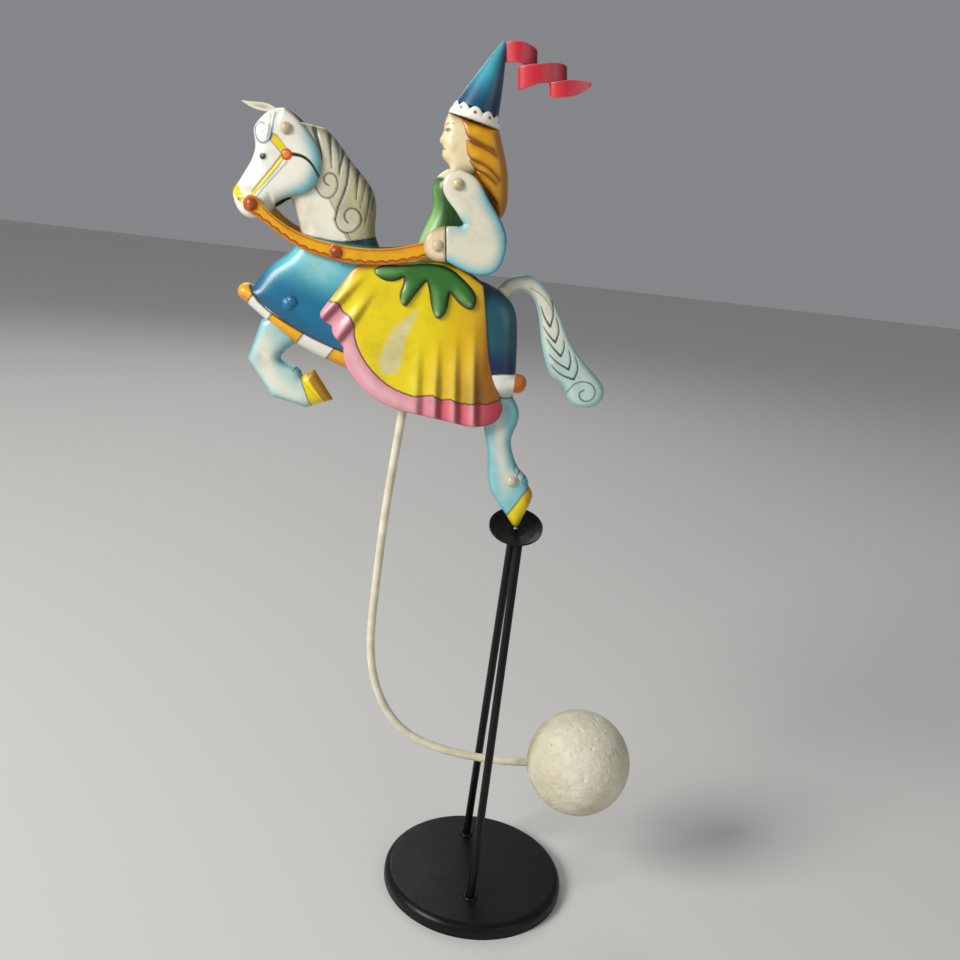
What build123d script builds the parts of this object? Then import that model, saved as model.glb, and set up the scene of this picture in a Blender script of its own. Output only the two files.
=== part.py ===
"""Rocking balance toy: a rider on a horse that stands on one hoof and is held level by a counterweight.

Millimetres, +Z up, origin at the centre of the underside of the base. The horse faces -X and its
mirror plane is XZ, so "left" pieces lie on the -Y side. Every figure piece is a pressed tin half
with a rim on the mirror plane, so an outline is drawn in XZ as runs of (x, z) points.
"""
from build123d import *
import os

# Stand
BASE_R = 55.0
BASE_H = 8.0
BASE_ROUND = 4.5
LEG_R = 2.4
LEG_FEET = ((-0.7, -29.5), (-5.6, 33.0))
LEG_TOPS = ((2.6, -1.9), (-1.4, 1.9))
LEG_TOP_Z = 224.0
LEG_SOCKET_DEPTH = 5.0
PLATE_R = 15.2
PLATE_LEAN = 25.0
PLATE_SHEET = 1.4

# Point that the figure balances on
PIVOT_Z = 231.0
BALL_TIP_R = 1.5
PIN_R = 1.2
PIN_LENGTH = 15.0
HOOF_CLEAR = 2.2
HOOF_TAPER = 9.0

# Pressed tin: sheet and half depths from the mirror plane
SHEET = 0.7
BODY_HALF = 9.4
NECK_HALF = 7.0
HEAD_HALF = 11.2
LEG_HALF = 5.4
TAIL_HALF = 4.0
TORSO_HALF = 9.8
RIDER_HEAD_HALF = 8.0
HAIR_HALF = 9.6
SKIRT_OUT = 12.2
LEAF_OUT = 12.8
EDGE = 2.0

# Linkage layers, each measured outwards from the mirror plane
FRONT_REIN_IN = 11.7
REAR_REIN_IN = 13.2
REIN_SHEET = 1.0
ARM_IN, ARM_OUT = 14.6, 17.1
BODY_GAP = 0.35
RIVET_R = 1.5
RIVET_HEAD_R = 3.0
RIVET_HEAD_H = 1.8
RUNNING = 0.05
OPEN_PIVOT_PLAY = 0.1

# Pivots, (x, z)
HEAD_PIVOT = (-140.0, 430.0)
MOUTH = (-155.5, 391.5)
REIN_JOINT = (-110.0, 372.5)
HAND = (-58.0, 381.5)
SHOULDER = (-51.0, 412.5)
FRONT_LEG_PIVOT = (-132.5, 344.5)
FETLOCK = (-5.5, 259.5)

# Counterweight
WEIGHT_R = 31.0
WEIGHT_CORE_R = 17.8
WEIGHT_CORE_X = 6.0
WEIGHT_AT = (55.0, 88.6)
ROD_R = 2.4
ROD_TOP = (-67.5, 338.0)

# Outlines as runs of (x, z); a run of two points is straight, a longer one is a smooth curve
BODY = [
    [(-92.5, 379.5), (-89.5, 376.5)],
    [(-89.5, 376.5), (-64.0, 370.5), (-41.0, 367.0), (-26.0, 362.5), (-16.5, 355.0),
     (-12.5, 341.0), (-11.0, 325.0), (-10.5, 318.5)],
    [(-10.5, 318.5), (-5.5, 317.5), (-4.0, 313.0), (-6.5, 308.6), (-11.0, 308.0)],
    [(-11.0, 308.0), (-11.0, 305.5)],
    [(-11.0, 305.5), (-58.0, 301.0), (-85.0, 305.0), (-104.0, 311.5), (-131.0, 321.8),
     (-147.5, 332.5), (-159.5, 341.0)],
    [(-159.5, 341.0), (-163.3, 345.0), (-162.0, 349.5), (-158.0, 350.8), (-154.5, 350.0)],
    [(-154.5, 350.0), (-145.0, 363.0), (-136.0, 370.5), (-131.5, 379.5)],
    [(-131.5, 379.5), (-112.0, 379.0), (-92.5, 379.5)],
]
NECK = [
    [(-131.0, 366.0), (-131.5, 379.5)],
    [(-131.5, 379.5), (-134.5, 389.0), (-138.0, 396.5), (-143.0, 407.0), (-148.0, 420.0),
     (-151.0, 431.0)],
    [(-151.0, 431.0), (-146.0, 435.2), (-138.0, 434.8)],
    [(-138.0, 434.8), (-122.5, 432.8)],
    [(-122.5, 432.8), (-116.0, 427.5), (-109.0, 419.5), (-100.5, 411.0), (-95.0, 403.5),
     (-93.0, 394.5), (-92.5, 383.0), (-92.5, 366.0)],
    [(-92.5, 366.0), (-131.0, 366.0)],
]
HEAD = [
    [(-144.0, 440.4), (-150.2, 438.9), (-155.6, 434.2), (-158.7, 429.2), (-157.7, 421.9),
     (-158.6, 415.0), (-162.2, 407.8), (-165.9, 401.3), (-168.0, 397.2), (-167.4, 392.6),
     (-164.4, 387.2), (-159.5, 384.2), (-153.5, 385.0), (-147.6, 389.0)],
    [(-147.6, 389.0), (-142.5, 394.5), (-136.0, 397.4), (-128.5, 399.8), (-124.0, 404.5),
     (-122.0, 411.5), (-122.3, 418.5), (-125.3, 425.0), (-130.5, 430.8), (-137.0, 436.7),
     (-144.0, 440.4)],
]
NECK_SLOT = [
    [(-144.5, 392.5), (-110.0, 380.0)],
    [(-110.0, 380.0), (-100.0, 440.0)],
    [(-100.0, 440.0), (-142.5, 442.0)],
    [(-142.5, 442.0), (-143.5, 430.0), (-147.0, 414.0), (-144.5, 392.5)],
]
FRONT_LEG = [
    [(-131.0, 351.0), (-137.5, 346.0), (-141.5, 339.5), (-150.0, 332.0)],
    [(-150.0, 332.0), (-156.5, 310.5)],
    [(-156.5, 310.5), (-142.0, 291.0)],
    [(-142.0, 291.0), (-122.5, 287.0)],
    [(-122.5, 287.0), (-108.5, 293.0)],
    [(-108.5, 293.0), (-120.0, 308.5)],
    [(-120.0, 308.5), (-126.0, 304.0)],
    [(-126.0, 304.0), (-128.5, 308.0), (-134.0, 309.5), (-138.5, 312.5), (-136.5, 316.5),
     (-128.5, 324.0), (-125.0, 333.0), (-124.5, 345.0), (-131.0, 351.0)],
]
HIND_LEG = [
    [(-10.5, 318.0), (-10.5, 305.5)],
    [(-10.5, 305.5), (-6.3, 298.0), (-6.4, 291.5), (-8.6, 283.0), (-6.6, 273.5), (-2.0, 265.8),
     (2.8, 261.0), (4.0, 257.0)],
    [(4.0, 257.0), (6.6, 253.0), (5.2, 244.0)],
    [(5.2, 244.0), (0.9, 230.8)],
    [(0.9, 230.8), (-0.9, 230.8)],
    [(-0.9, 230.8), (-17.0, 251.5)],
    [(-17.0, 251.5), (-19.3, 260.0), (-20.6, 272.0), (-23.8, 284.5), (-28.5, 300.0),
     (-32.0, 318.0)],
    [(-32.0, 318.0), (-10.5, 318.0)],
]
TAIL = [
    [(-26.0, 362.0), (-21.5, 367.3), (-15.5, 370.5), (-8.8, 371.0), (-2.5, 367.7), (3.2, 361.8),
     (9.0, 353.0), (14.5, 343.2), (20.5, 334.2), (28.5, 326.0), (35.0, 320.0), (38.4, 313.5),
     (36.5, 307.8), (31.0, 304.7), (25.0, 304.5), (20.5, 307.0), (18.0, 311.5)],
    [(18.0, 311.5), (16.0, 314.8), (10.0, 318.3), (5.0, 326.0), (1.2, 337.0), (-1.3, 347.5),
     (-3.8, 355.5), (-8.0, 361.2), (-13.0, 362.8), (-19.0, 356.0)],
    [(-19.0, 356.0), (-26.0, 362.0)],
]
SKIRT = [
    [(-91.5, 368.0), (-98.5, 367.0), (-104.5, 360.0), (-110.0, 351.5), (-115.0, 344.0),
     (-117.0, 339.0), (-114.0, 335.6), (-110.5, 334.0)],
    [(-110.5, 334.0), (-109.6, 330.0), (-106.5, 326.5), (-103.5, 323.5)],
    [(-103.5, 323.5), (-102.5, 316.5), (-98.5, 309.5), (-91.0, 302.3), (-81.0, 296.3),
     (-71.0, 293.0), (-61.0, 291.8), (-51.0, 290.6), (-41.0, 289.5), (-33.0, 288.4),
     (-25.0, 289.5), (-18.0, 293.5), (-15.8, 299.5), (-18.5, 307.5), (-24.0, 320.5),
     (-28.0, 338.0), (-31.0, 354.5), (-33.0, 363.5)],
    [(-33.0, 363.5), (-41.5, 368.8), (-53.5, 373.0), (-66.0, 372.5), (-79.0, 370.5),
     (-91.5, 368.0)],
]
LEAVES = [
    [(-66.0, 371.5), (-78.0, 369.6)],
    [(-78.0, 369.6), (-86.0, 368.4), (-90.2, 364.8), (-86.5, 361.6), (-78.0, 361.5),
     (-74.5, 363.5)],
    [(-74.5, 363.5), (-74.8, 359.5), (-75.9, 354.0), (-73.0, 348.8), (-69.0, 353.0),
     (-62.5, 363.0)],
    [(-62.5, 363.0), (-60.6, 357.0), (-58.8, 350.0), (-54.5, 344.2), (-50.4, 349.6),
     (-50.0, 354.0), (-49.5, 358.5)],
    [(-49.5, 358.5), (-43.0, 352.3), (-37.2, 351.2), (-35.6, 355.5), (-40.5, 363.5),
     (-48.5, 369.5)],
    [(-48.5, 369.5), (-54.0, 371.5), (-66.0, 371.5)],
]
TORSO = [
    [(-58.0, 419.8), (-63.0, 415.5), (-65.0, 408.5), (-63.8, 402.0), (-65.8, 393.5),
     (-69.0, 385.0), (-71.5, 373.5)],
    [(-71.5, 373.5), (-72.0, 366.0)],
    [(-72.0, 366.0), (-40.0, 362.0)],
    [(-40.0, 362.0), (-37.5, 380.0), (-37.0, 395.0), (-38.5, 408.0), (-46.0, 419.8)],
    [(-46.0, 419.8), (-58.0, 419.8)],
]
RIDER_HEAD = [
    [(-57.5, 417.0), (-57.5, 421.5), (-59.5, 423.5), (-61.8, 427.0), (-61.6, 430.6),
     (-63.4, 432.6), (-62.3, 437.0), (-61.8, 442.0), (-60.0, 447.2)],
    [(-60.0, 447.2), (-35.0, 442.0)],
    [(-35.0, 442.0), (-31.5, 432.0), (-35.0, 422.0), (-46.5, 417.0)],
    [(-46.5, 417.0), (-57.5, 417.0)],
]
HAIR = [
    [(-55.0, 446.2), (-34.0, 441.6)],
    [(-34.0, 441.6), (-30.0, 431.0), (-26.8, 419.5), (-25.6, 409.0), (-26.0, 402.5),
     (-28.0, 398.5), (-34.0, 404.5), (-41.5, 413.5), (-46.0, 419.5), (-50.0, 424.0),
     (-51.8, 430.0), (-53.5, 439.0), (-55.0, 446.2)],
]
ARM = [
    [(-50.5, 419.5), (-56.5, 417.3), (-58.8, 411.5), (-56.5, 405.5), (-50.5, 399.0),
     (-47.6, 395.2)],
    [(-47.6, 395.2), (-46.6, 393.4), (-48.0, 392.2)],
    [(-48.0, 392.2), (-56.0, 391.3), (-62.0, 388.6), (-65.3, 383.5), (-64.6, 377.5),
     (-60.0, 374.0), (-52.5, 374.0)],
    [(-52.5, 374.0), (-44.0, 370.6), (-35.5, 369.0), (-27.5, 372.0), (-23.8, 380.0),
     (-24.6, 391.0), (-29.5, 399.5), (-36.5, 409.0), (-43.5, 417.0), (-50.5, 419.5)],
]
FRONT_REIN = [
    [(-153.5, 395.7), (-145.5, 388.3), (-133.0, 381.3), (-117.0, 377.1), (-108.0, 376.3)],
    [(-108.0, 376.3), (-106.0, 372.5), (-108.0, 368.4)],
    [(-108.0, 368.4), (-118.5, 369.7), (-135.0, 375.0), (-147.5, 382.5), (-158.5, 388.3)],
    [(-158.5, 388.3), (-159.7, 392.5), (-157.0, 395.8), (-153.5, 395.7)],
]
REAR_REIN = [
    [(-112.0, 376.6), (-100.0, 376.0), (-82.5, 377.6), (-66.5, 382.2), (-58.0, 385.3)],
    [(-58.0, 385.3), (-54.8, 382.0), (-57.0, 377.4)],
    [(-57.0, 377.4), (-66.0, 373.9), (-85.0, 369.0), (-101.0, 367.8), (-112.0, 368.4)],
    [(-112.0, 368.4), (-114.2, 372.5), (-112.0, 376.6)],
]
EAR = [
    [(-145.0, 438.0), (-151.5, 437.4)],
    [(-151.5, 437.4), (-158.0, 438.1), (-165.4, 441.3)],
    [(-165.4, 441.3), (-158.0, 441.4), (-151.0, 441.0), (-145.0, 438.0)],
]

# Hat: lines across it from front to back, and the folded panels of its ribbon as (x, y, z)
CROWN_LOW = ((-60.2, 447.9), (-34.2, 442.5))
CROWN_TOP = ((-57.0, 452.6), (-35.0, 447.2))
HAT_TIP = ((-37.2, 483.3), (-34.4, 482.7))
RIBBON_SHEET = 0.7
RIBBON = [
    [(-36.0, 0.0, 483.4), (-22.0, 4.0, 482.6), (-22.0, 4.0, 473.0), (-33.8, 0.6, 474.8)],
    [(-22.0, 4.0, 482.6), (-27.0, -4.0, 473.5), (-26.5, -4.0, 461.0), (-22.0, 4.0, 472.0)],
    [(-27.0, -4.0, 473.5), (-8.0, 4.0, 476.2), (-7.5, 4.0, 467.0), (-26.5, -4.0, 461.0)],
    [(-8.0, 4.0, 476.2), (-11.5, -4.0, 467.0), (-10.0, -4.0, 458.5), (-7.5, 4.0, 466.0)],
    [(-11.5, -4.0, 468.0), (9.5, 3.0, 469.0), (-10.0, -4.0, 459.0)],
]
ROD_ROUTE = [
    (-70.0, 288.5), (-74.0, 238.0), (-76.3, 180.0), (-72.0, 128.0), (-52.0, 97.0),
    (-20.0, 85.6), (25.0, 84.6),
]

LEG_SLOT_RUNS = [
    [(-160.0, 300.0), (-100.0, 300.0), (-116.0, 332.0), (-158.0, 346.0), (-160.0, 300.0)],
]

made = {}


def region(runs):
    """A flat face in XZ bounded by the runs of an outline."""
    edges = []
    for run in runs:
        points = [Vector(x, 0, z) for x, z in run]
        edges.append(Line(*points) if len(points) == 2 else Spline(*points))
    return Face(Wire([curve.edge() for curve in edges]))


def slab(face, low, high):
    """The face swept from low to high on the left, -Y, side."""
    return Pos(0, -low, 0) * extrude(face, amount=high - low, dir=(0, -1, 0))


def block(runs, low, high, edge):
    """A slab with its outer edge bevelled."""
    solid = slab(region(runs), low, high)
    return chamfer(solid.faces().sort_by(Axis.Y)[0].edges(), edge) if edge else solid


def inset(face, by):
    """The face drawn in by a distance, with its curves laid as plain splines."""
    edges = []
    for edge in offset(face.outer_wire(), -by, kind=Kind.ARC).edges():
        steps = max(3, round(edge.length / 3))
        straight = edge.geom_type == GeomType.LINE
        points = [edge @ (i / steps) for i in range(steps + 1)]
        edges.append(Line(points[0], points[-1]) if straight else Spline(*points))
    return Face(Wire([curve.edge() for curve in edges]))


def hollow(runs, low, high, edge):
    """The space inside a pressed half of the same outline."""
    solid = slab(inset(region(runs), SHEET), low - SHEET, high - SHEET)
    return chamfer(solid.faces().sort_by(Axis.Y)[0].edges(), edge) if edge else solid


def dish(runs, low, high, edge=EDGE):
    """A pressed half: a sheet bottom at high and a rim down to low."""
    return block(runs, low, high, edge) - hollow(runs, low, high, edge)


def across(at, radius, low, high):
    """A cylinder along Y between two distances on the left side."""
    x, z = at
    return Pos(x, -(low + high) / 2, z) * Rot(90, 0, 0) * Cylinder(radius, high - low)


def dome(at, y, radius=RIVET_HEAD_R, height=RIVET_HEAD_H):
    """A rivet head that stands out from y on the left side."""
    ball_r = (radius**2 + height**2) / (2 * height)
    x, z = at
    ball = Pos(x, -(y + height - ball_r), z) * Sphere(ball_r)
    return ball & across(at, radius, y, y + height)


def right_of(shape):
    return mirror(shape, about=Plane.XZ)


def both_sides(shape):
    """The left shape and its mirror image, as separate solids."""
    return Compound(children=[*shape.solids(), *right_of(shape).solids()])


def keep(name, shape):
    made[name] = shape


def keep_pair(name, shape):
    keep(name + "_left", shape)
    keep(name + "_right", right_of(shape))


def axle(at, reach):
    """A through rivet with a domed head at each end."""
    head = dome(at, reach)
    return across(at, RIVET_R, -reach, reach) + head + right_of(head)


def short_rivet(at, inner, outer):
    """A rivet on one side only: a thin flat head inside, a domed one outside."""
    flat = across(at, RIVET_HEAD_R - 0.5, inner - 0.6, inner)
    return flat + across(at, RIVET_R, inner, outer) + dome(at, outer)


def hole(at, radius, low=0.0, high=30.0):
    return across(at, radius, low, high)


def stand():
    disc = Pos(0, 0, BASE_H / 2) * Cylinder(BASE_R, BASE_H)
    disc = fillet(disc.faces().sort_by(Axis.Z)[-1].edges(), BASE_ROUND)
    low = (Align.CENTER, Align.CENTER, Align.MIN)
    legs, beads = [], []
    for foot_xy, top_xy in zip(LEG_FEET, LEG_TOPS):
        foot = Vector(*foot_xy, BASE_H - LEG_SOCKET_DEPTH)
        rise = Vector(*top_xy, LEG_TOP_Z) - foot
        leg = Plane(origin=foot, z_dir=rise.normalized()) * Cylinder(LEG_R, rise.length, align=low)
        at = foot + rise * (LEG_SOCKET_DEPTH / rise.Z)
        beads.append(Pos(at) * Torus(LEG_R + 0.8, 1.2) - disc - leg)
        legs.append(leg)
    keep("base_disc", disc - legs[0] - legs[1])
    keep("stand_leg_left", legs[0])
    keep("stand_leg_right", legs[1])
    keep("leg_weld_beads", Compound(children=[*beads[0].solids(), *beads[1].solids()]))

    lean = Pos(0, 0, PIVOT_Z) * Rot(PLATE_LEAN, 0, 0)
    profile = [(0, -0.8), (6.0, -0.5), (11.5, 0.7), (PLATE_R, 2.4)]
    under = [(r, z - PLATE_SHEET) for r, z in reversed(profile)]
    wire = Polyline(*[Vector(r, 0, z) for r, z in profile + under], close=True)
    plate = lean * revolve(Face(Wire(wire.edges())), Axis.Z)
    collar = Pos(0.6, 0, LEG_TOP_Z - 1.6) * Cylinder(5.7, 10.4, align=low)
    above = lean * Pos(0, 0, -0.8 - PLATE_SHEET / 2) * Cylinder(20, 20, align=low)
    plate = plate + (collar - above) - legs[0] - legs[1]
    keep("top_plate", plate - Pos(0, 0, PIVOT_Z) * Sphere(BALL_TIP_R + RUNNING))


def balance_point():
    """The ball, and the pin that rides on it inside the hollow hoof."""
    at = Pos(0, 0, PIVOT_Z)
    keep("pivot_ball", at * Sphere(BALL_TIP_R))
    pin = at * Rot(0, -8, 0) * Pos(0, 0, 0.4) * Cylinder(
        PIN_R, PIN_LENGTH, align=(Align.CENTER, Align.CENTER, Align.MIN))
    keep("pivot_pin", pin - at * Sphere(BALL_TIP_R + RUNNING))


def horse():
    """Neck, body and hind leg as one pressing, with the pieces fixed to it."""
    shell_parts = [(BODY, BODY_HALF, EDGE), (NECK, NECK_HALF, EDGE), (HIND_LEG, LEG_HALF, 0)]
    outer = Part() + [block(runs, 0, half, edge) for runs, half, edge in shell_parts]
    inner = Part() + [hollow(runs, 0, half, edge) for runs, half, edge in shell_parts]
    rod = counterweight()
    shell = outer - inner
    shell -= slab(region(LEG_SLOT_RUNS), 0, LEG_HALF + BODY_GAP)
    shell -= hoof_relief()
    shell -= rod
    shell -= hole(HEAD_PIVOT, RIVET_R)
    shell -= hole(FRONT_LEG_PIVOT, RIVET_R)
    keep_pair("horse_shell", shell.solids().sort_by(SortBy.VOLUME)[-1])
    keep("head_axle", axle(HEAD_PIVOT, HEAD_HALF + BODY_GAP))
    keep("front_leg_axle", axle(FRONT_LEG_PIVOT, BODY_HALF))
    keep("fetlock_rivets", both_sides(dome(FETLOCK, LEG_HALF)))
    keep_pair("tail", (dish(TAIL, 0, TAIL_HALF, 0.8) - outer).solids().sort_by(SortBy.VOLUME)[-1])
    return outer


def hoof_relief():
    """What is taken off the hoof around the point, so that it clears the leaning plate."""
    low = (Align.CENTER, Align.CENTER, Align.MIN)
    drum = Pos(0, 0, PIVOT_Z - 3) * Cylinder(30, 3 + HOOF_TAPER, align=low)
    kept = Pos(0, 0, PIVOT_Z) * Cone(0.01, HOOF_TAPER * 1.3, HOOF_TAPER, align=low)
    return drum - kept + Pos(0, 0, PIVOT_Z) * Sphere(HOOF_CLEAR)


def counterweight():
    """The bent rod, its socket inside the body and the cast ball; returns the rod."""
    top = Vector(ROD_TOP[0], 0, ROD_TOP[1])
    end = Vector(WEIGHT_AT[0], 0, WEIGHT_AT[1])
    route = Spline(top, *[Vector(x, 0, z) for x, z in ROD_ROUTE], end)
    rod = sweep(Plane(origin=top, z_dir=route % 0) * Circle(ROD_R), path=route)
    keep("counterweight_rod", rod)
    width = 2 * (BODY_HALF - SHEET)
    socket = Pos(ROD_TOP[0] - 1, 0, ROD_TOP[1] - 8) * Box(16, width, 20)
    keep("rod_socket", socket - rod)
    ball = Pos(end) * Sphere(WEIGHT_R) - Pos(end.X + WEIGHT_CORE_X, 0, end.Z) * Sphere(WEIGHT_CORE_R)
    keep("counterweight_ball", ball - rod)
    return rod


def horse_head():
    shell = dish(HEAD, 0, HEAD_HALF)
    shell -= slab(region(NECK_SLOT), 0, NECK_HALF + BODY_GAP)
    shell -= hole(HEAD_PIVOT, RIVET_R + RUNNING)
    shell -= hole(MOUTH, RIVET_R)
    keep_pair("head", shell.solids().sort_by(SortBy.VOLUME)[-1])
    ear = slab(region(EAR), 3.2, 4.4) - block(HEAD, 0, HEAD_HALF, 0)
    keep("ears", both_sides(ear.solids().sort_by(SortBy.VOLUME)[-1]))
    keep("mouth_axle", axle(MOUTH, FRONT_REIN_IN + REIN_SHEET + BODY_GAP))


def front_leg():
    shell = dish(FRONT_LEG, 0, LEG_HALF, 1.2) - hole(FRONT_LEG_PIVOT, RIVET_R + RUNNING)
    keep_pair("front_leg", shell)
    gap = BODY_HALF - SHEET - LEG_HALF
    ring = across(FRONT_LEG_PIVOT, 3.2, LEG_HALF + BODY_GAP, LEG_HALF + gap)
    keep("front_leg_spacers", both_sides(ring - hole(FRONT_LEG_PIVOT, RIVET_R)))


def rider(outer):
    skirt = dish(SKIRT, BODY_HALF, SKIRT_OUT, 1.4)
    skirt_block = slab(region(SKIRT), 0, SKIRT_OUT)
    keep_pair("skirt", skirt)
    keep_pair("leaf_peplum", slab(region(LEAVES), SKIRT_OUT, LEAF_OUT))
    torso = dish(TORSO, 0, TORSO_HALF, 0) - outer - skirt_block
    keep_pair("torso", (torso - hole(SHOULDER, RIVET_R)).solids().sort_by(SortBy.VOLUME)[-1])
    face = dish(RIDER_HEAD, 0, RIDER_HEAD_HALF, 0)
    torso_block = block(TORSO, 0, TORSO_HALF, 0)
    face = (face - torso_block).solids().sort_by(SortBy.VOLUME)[-1]
    keep_pair("rider_head", face)
    hair = dish(HAIR, 0, HAIR_HALF, 0) - torso_block - block(RIDER_HEAD, 0, RIDER_HEAD_HALF, 0)
    keep_pair("hair", hair.solids().sort_by(SortBy.VOLUME)[-1])
    spacer = across(SHOULDER, 3.4, TORSO_HALF, ARM_IN - BODY_GAP) - hole(SHOULDER, RIVET_R)
    keep("shoulder_spacers", both_sides(spacer))
    keep("shoulder_axle", axle(SHOULDER, ARM_OUT + BODY_GAP))
    return hair


def slanted(left, right, depth, wall=0.0):
    """An elliptical section across a line from left to right in XZ, drawn in by a wall."""
    a, b = Vector(left[0], 0, left[1]), Vector(right[0], 0, right[1])
    plane = Plane(origin=(a + b) / 2, x_dir=b - a, z_dir=(b - a).cross(Vector(0, 1, 0)))
    return (plane * Ellipse((b - a).length / 2 - wall, depth - wall)).face()


def tapered_tube(low, high):
    """A hollow piece lofted between two slanted sections, each (left, right, depth)."""
    outer = loft([slanted(*low), slanted(*high)])
    return outer, outer - loft([slanted(*low, SHEET), slanted(*high, SHEET)])


def folded_panel(corners):
    """A thin sheet over three or four points, bent along its diagonal."""
    first, *rest = [Vector(*corner) for corner in corners]
    panel = Part()
    for second, third in zip(rest, rest[1:]):
        face = Face(Polyline(first, second, third, close=True).wire())
        panel += extrude(face, amount=RIBBON_SHEET, dir=(0, 1, 0))
    return panel


def hat():
    waist = (*CROWN_TOP, 9.2)
    solid_cone, cone = tapered_tube(waist, (*HAT_TIP, 1.3))
    keep("hat_cone", cone)
    keep("hat_crown", tapered_tube((*CROWN_LOW, 10.4), waist)[1])
    ribbon = Part() + [folded_panel(corners) for corners in RIBBON]
    keep("hat_ribbon", ribbon - solid_cone)


def reins_and_arms():
    front_out = FRONT_REIN_IN + REIN_SHEET
    rear_out = REAR_REIN_IN + REIN_SHEET
    front = slab(region(FRONT_REIN), FRONT_REIN_IN, front_out)
    front -= hole(MOUTH, RIVET_R + RUNNING)
    keep_pair("rein_front", front - hole(REIN_JOINT, RIVET_R + OPEN_PIVOT_PLAY))
    rear = slab(region(REAR_REIN), REAR_REIN_IN, rear_out) - hole(REIN_JOINT, RIVET_R)
    keep_pair("rein_rear", rear - hole(HAND, RIVET_R + RUNNING))
    keep("rein_rivets", both_sides(short_rivet(REIN_JOINT, FRONT_REIN_IN - BODY_GAP, rear_out)))
    arm = dish(ARM, ARM_IN, ARM_OUT, 1.0)
    arm -= hole(SHOULDER, RIVET_R + RUNNING)
    keep_pair("arm", arm - hole(HAND, RIVET_R))
    keep("hand_rivets", both_sides(short_rivet(HAND, REAR_REIN_IN - BODY_GAP, ARM_OUT)))


stand()
balance_point()
horse_outer = horse()
horse_head()
front_leg()
rider(horse_outer)
hat()
reins_and_arms()

os.makedirs("parts", exist_ok=True)
for name, shape in made.items():
    shape.label = name
    export_step(shape, f"parts/{name}.step")
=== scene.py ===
"""The looks of the balance toy: pressed, printed tin on the CAD frame.

Outlines and print positions are (x, z) in millimetres on the horse's mirror plane. Each pressed
half is one height field over its outline, painted point by point, then mirrored for the far side.
"""
import math

import bmesh
import bpy
import numpy as np
from mathutils import Matrix, Vector
from mathutils.geometry import delaunay_2d_cdt


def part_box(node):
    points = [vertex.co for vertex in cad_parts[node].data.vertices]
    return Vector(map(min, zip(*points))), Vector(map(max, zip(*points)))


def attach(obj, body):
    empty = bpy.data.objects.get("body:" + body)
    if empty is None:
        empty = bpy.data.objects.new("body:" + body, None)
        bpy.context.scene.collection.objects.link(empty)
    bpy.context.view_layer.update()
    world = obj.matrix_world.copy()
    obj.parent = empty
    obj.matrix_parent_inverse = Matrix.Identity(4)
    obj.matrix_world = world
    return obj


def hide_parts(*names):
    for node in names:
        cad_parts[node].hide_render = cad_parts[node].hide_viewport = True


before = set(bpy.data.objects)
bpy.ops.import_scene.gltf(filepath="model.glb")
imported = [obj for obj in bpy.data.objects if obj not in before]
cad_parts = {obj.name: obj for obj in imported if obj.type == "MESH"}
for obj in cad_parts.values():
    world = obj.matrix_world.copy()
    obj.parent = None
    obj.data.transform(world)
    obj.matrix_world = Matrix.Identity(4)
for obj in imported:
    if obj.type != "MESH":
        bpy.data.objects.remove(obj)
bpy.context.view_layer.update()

MM = 0.001

# Half depths and layers of the CAD pieces, millimetres from the mirror plane
BODY_HALF, NECK_HALF, LEG_HALF, HEAD_HALF = 9.4, 7.0, 5.4, 11.2
SKIRT_IN, SKIRT_OUT, LEAF_OUT = 9.5, 12.2, 13.2
ARM_IN, ARM_OUT = 14.6, 17.1
FRONT_REIN_IN, REAR_REIN_IN = 11.7, 13.2
SHEET, RIBBON_SHEET = 0.7, 0.6
MOUTH_AXLE, REIN_RIVET, CHEEK_BOSS = (-155.5, 391.5), (-110.0, 372.5), (-139.0, 417.5)

# Outlines, the same as the CAD pieces': runs of two points are straight, longer ones are curves
HORSE = [
    [(-131.5, 379.5), (-134.5, 389.0), (-138.0, 396.5), (-143.0, 407.0), (-148.0, 420.0),
     (-151.0, 431.0)],
    [(-151.0, 431.0), (-146.0, 435.2), (-138.0, 434.8)],
    [(-138.0, 434.8), (-122.5, 432.8)],
    [(-122.5, 432.8), (-116.0, 427.5), (-109.0, 419.5), (-100.5, 411.0), (-95.0, 403.5),
     (-93.0, 394.5), (-92.5, 383.0), (-89.5, 376.5)],
    [(-89.5, 376.5), (-64.0, 370.5), (-41.0, 367.0), (-26.0, 362.5), (-16.5, 355.0),
     (-12.5, 341.0), (-11.0, 325.0), (-10.5, 318.5)],
    [(-10.5, 318.5), (-5.5, 317.5), (-4.0, 313.0), (-6.5, 308.6), (-11.0, 308.0)],
    [(-11.0, 308.0), (-10.5, 305.5)],
    [(-10.5, 305.5), (-6.3, 298.0), (-6.4, 291.5), (-8.6, 283.0), (-6.6, 273.5), (-2.0, 265.8),
     (2.8, 261.0), (4.0, 257.0)],
    [(4.0, 257.0), (6.6, 253.0), (5.2, 244.0)],
    [(5.2, 244.0), (1.1, 232.9)],
    [(1.1, 232.9), (-1.9, 232.9)],
    [(-1.9, 232.9), (-17.0, 251.5)],
    [(-17.0, 251.5), (-19.3, 260.0), (-20.6, 272.0), (-23.8, 284.5), (-28.5, 301.5)],
    [(-28.5, 301.5), (-58.0, 301.0), (-85.0, 305.0), (-104.0, 311.5), (-131.0, 321.8),
     (-147.5, 332.5), (-159.5, 341.0)],
    [(-159.5, 341.0), (-163.3, 345.0), (-162.0, 349.5), (-158.0, 350.8), (-154.5, 350.0)],
    [(-154.5, 350.0), (-145.0, 363.0), (-136.0, 370.5), (-131.5, 379.5)],
]
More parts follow.
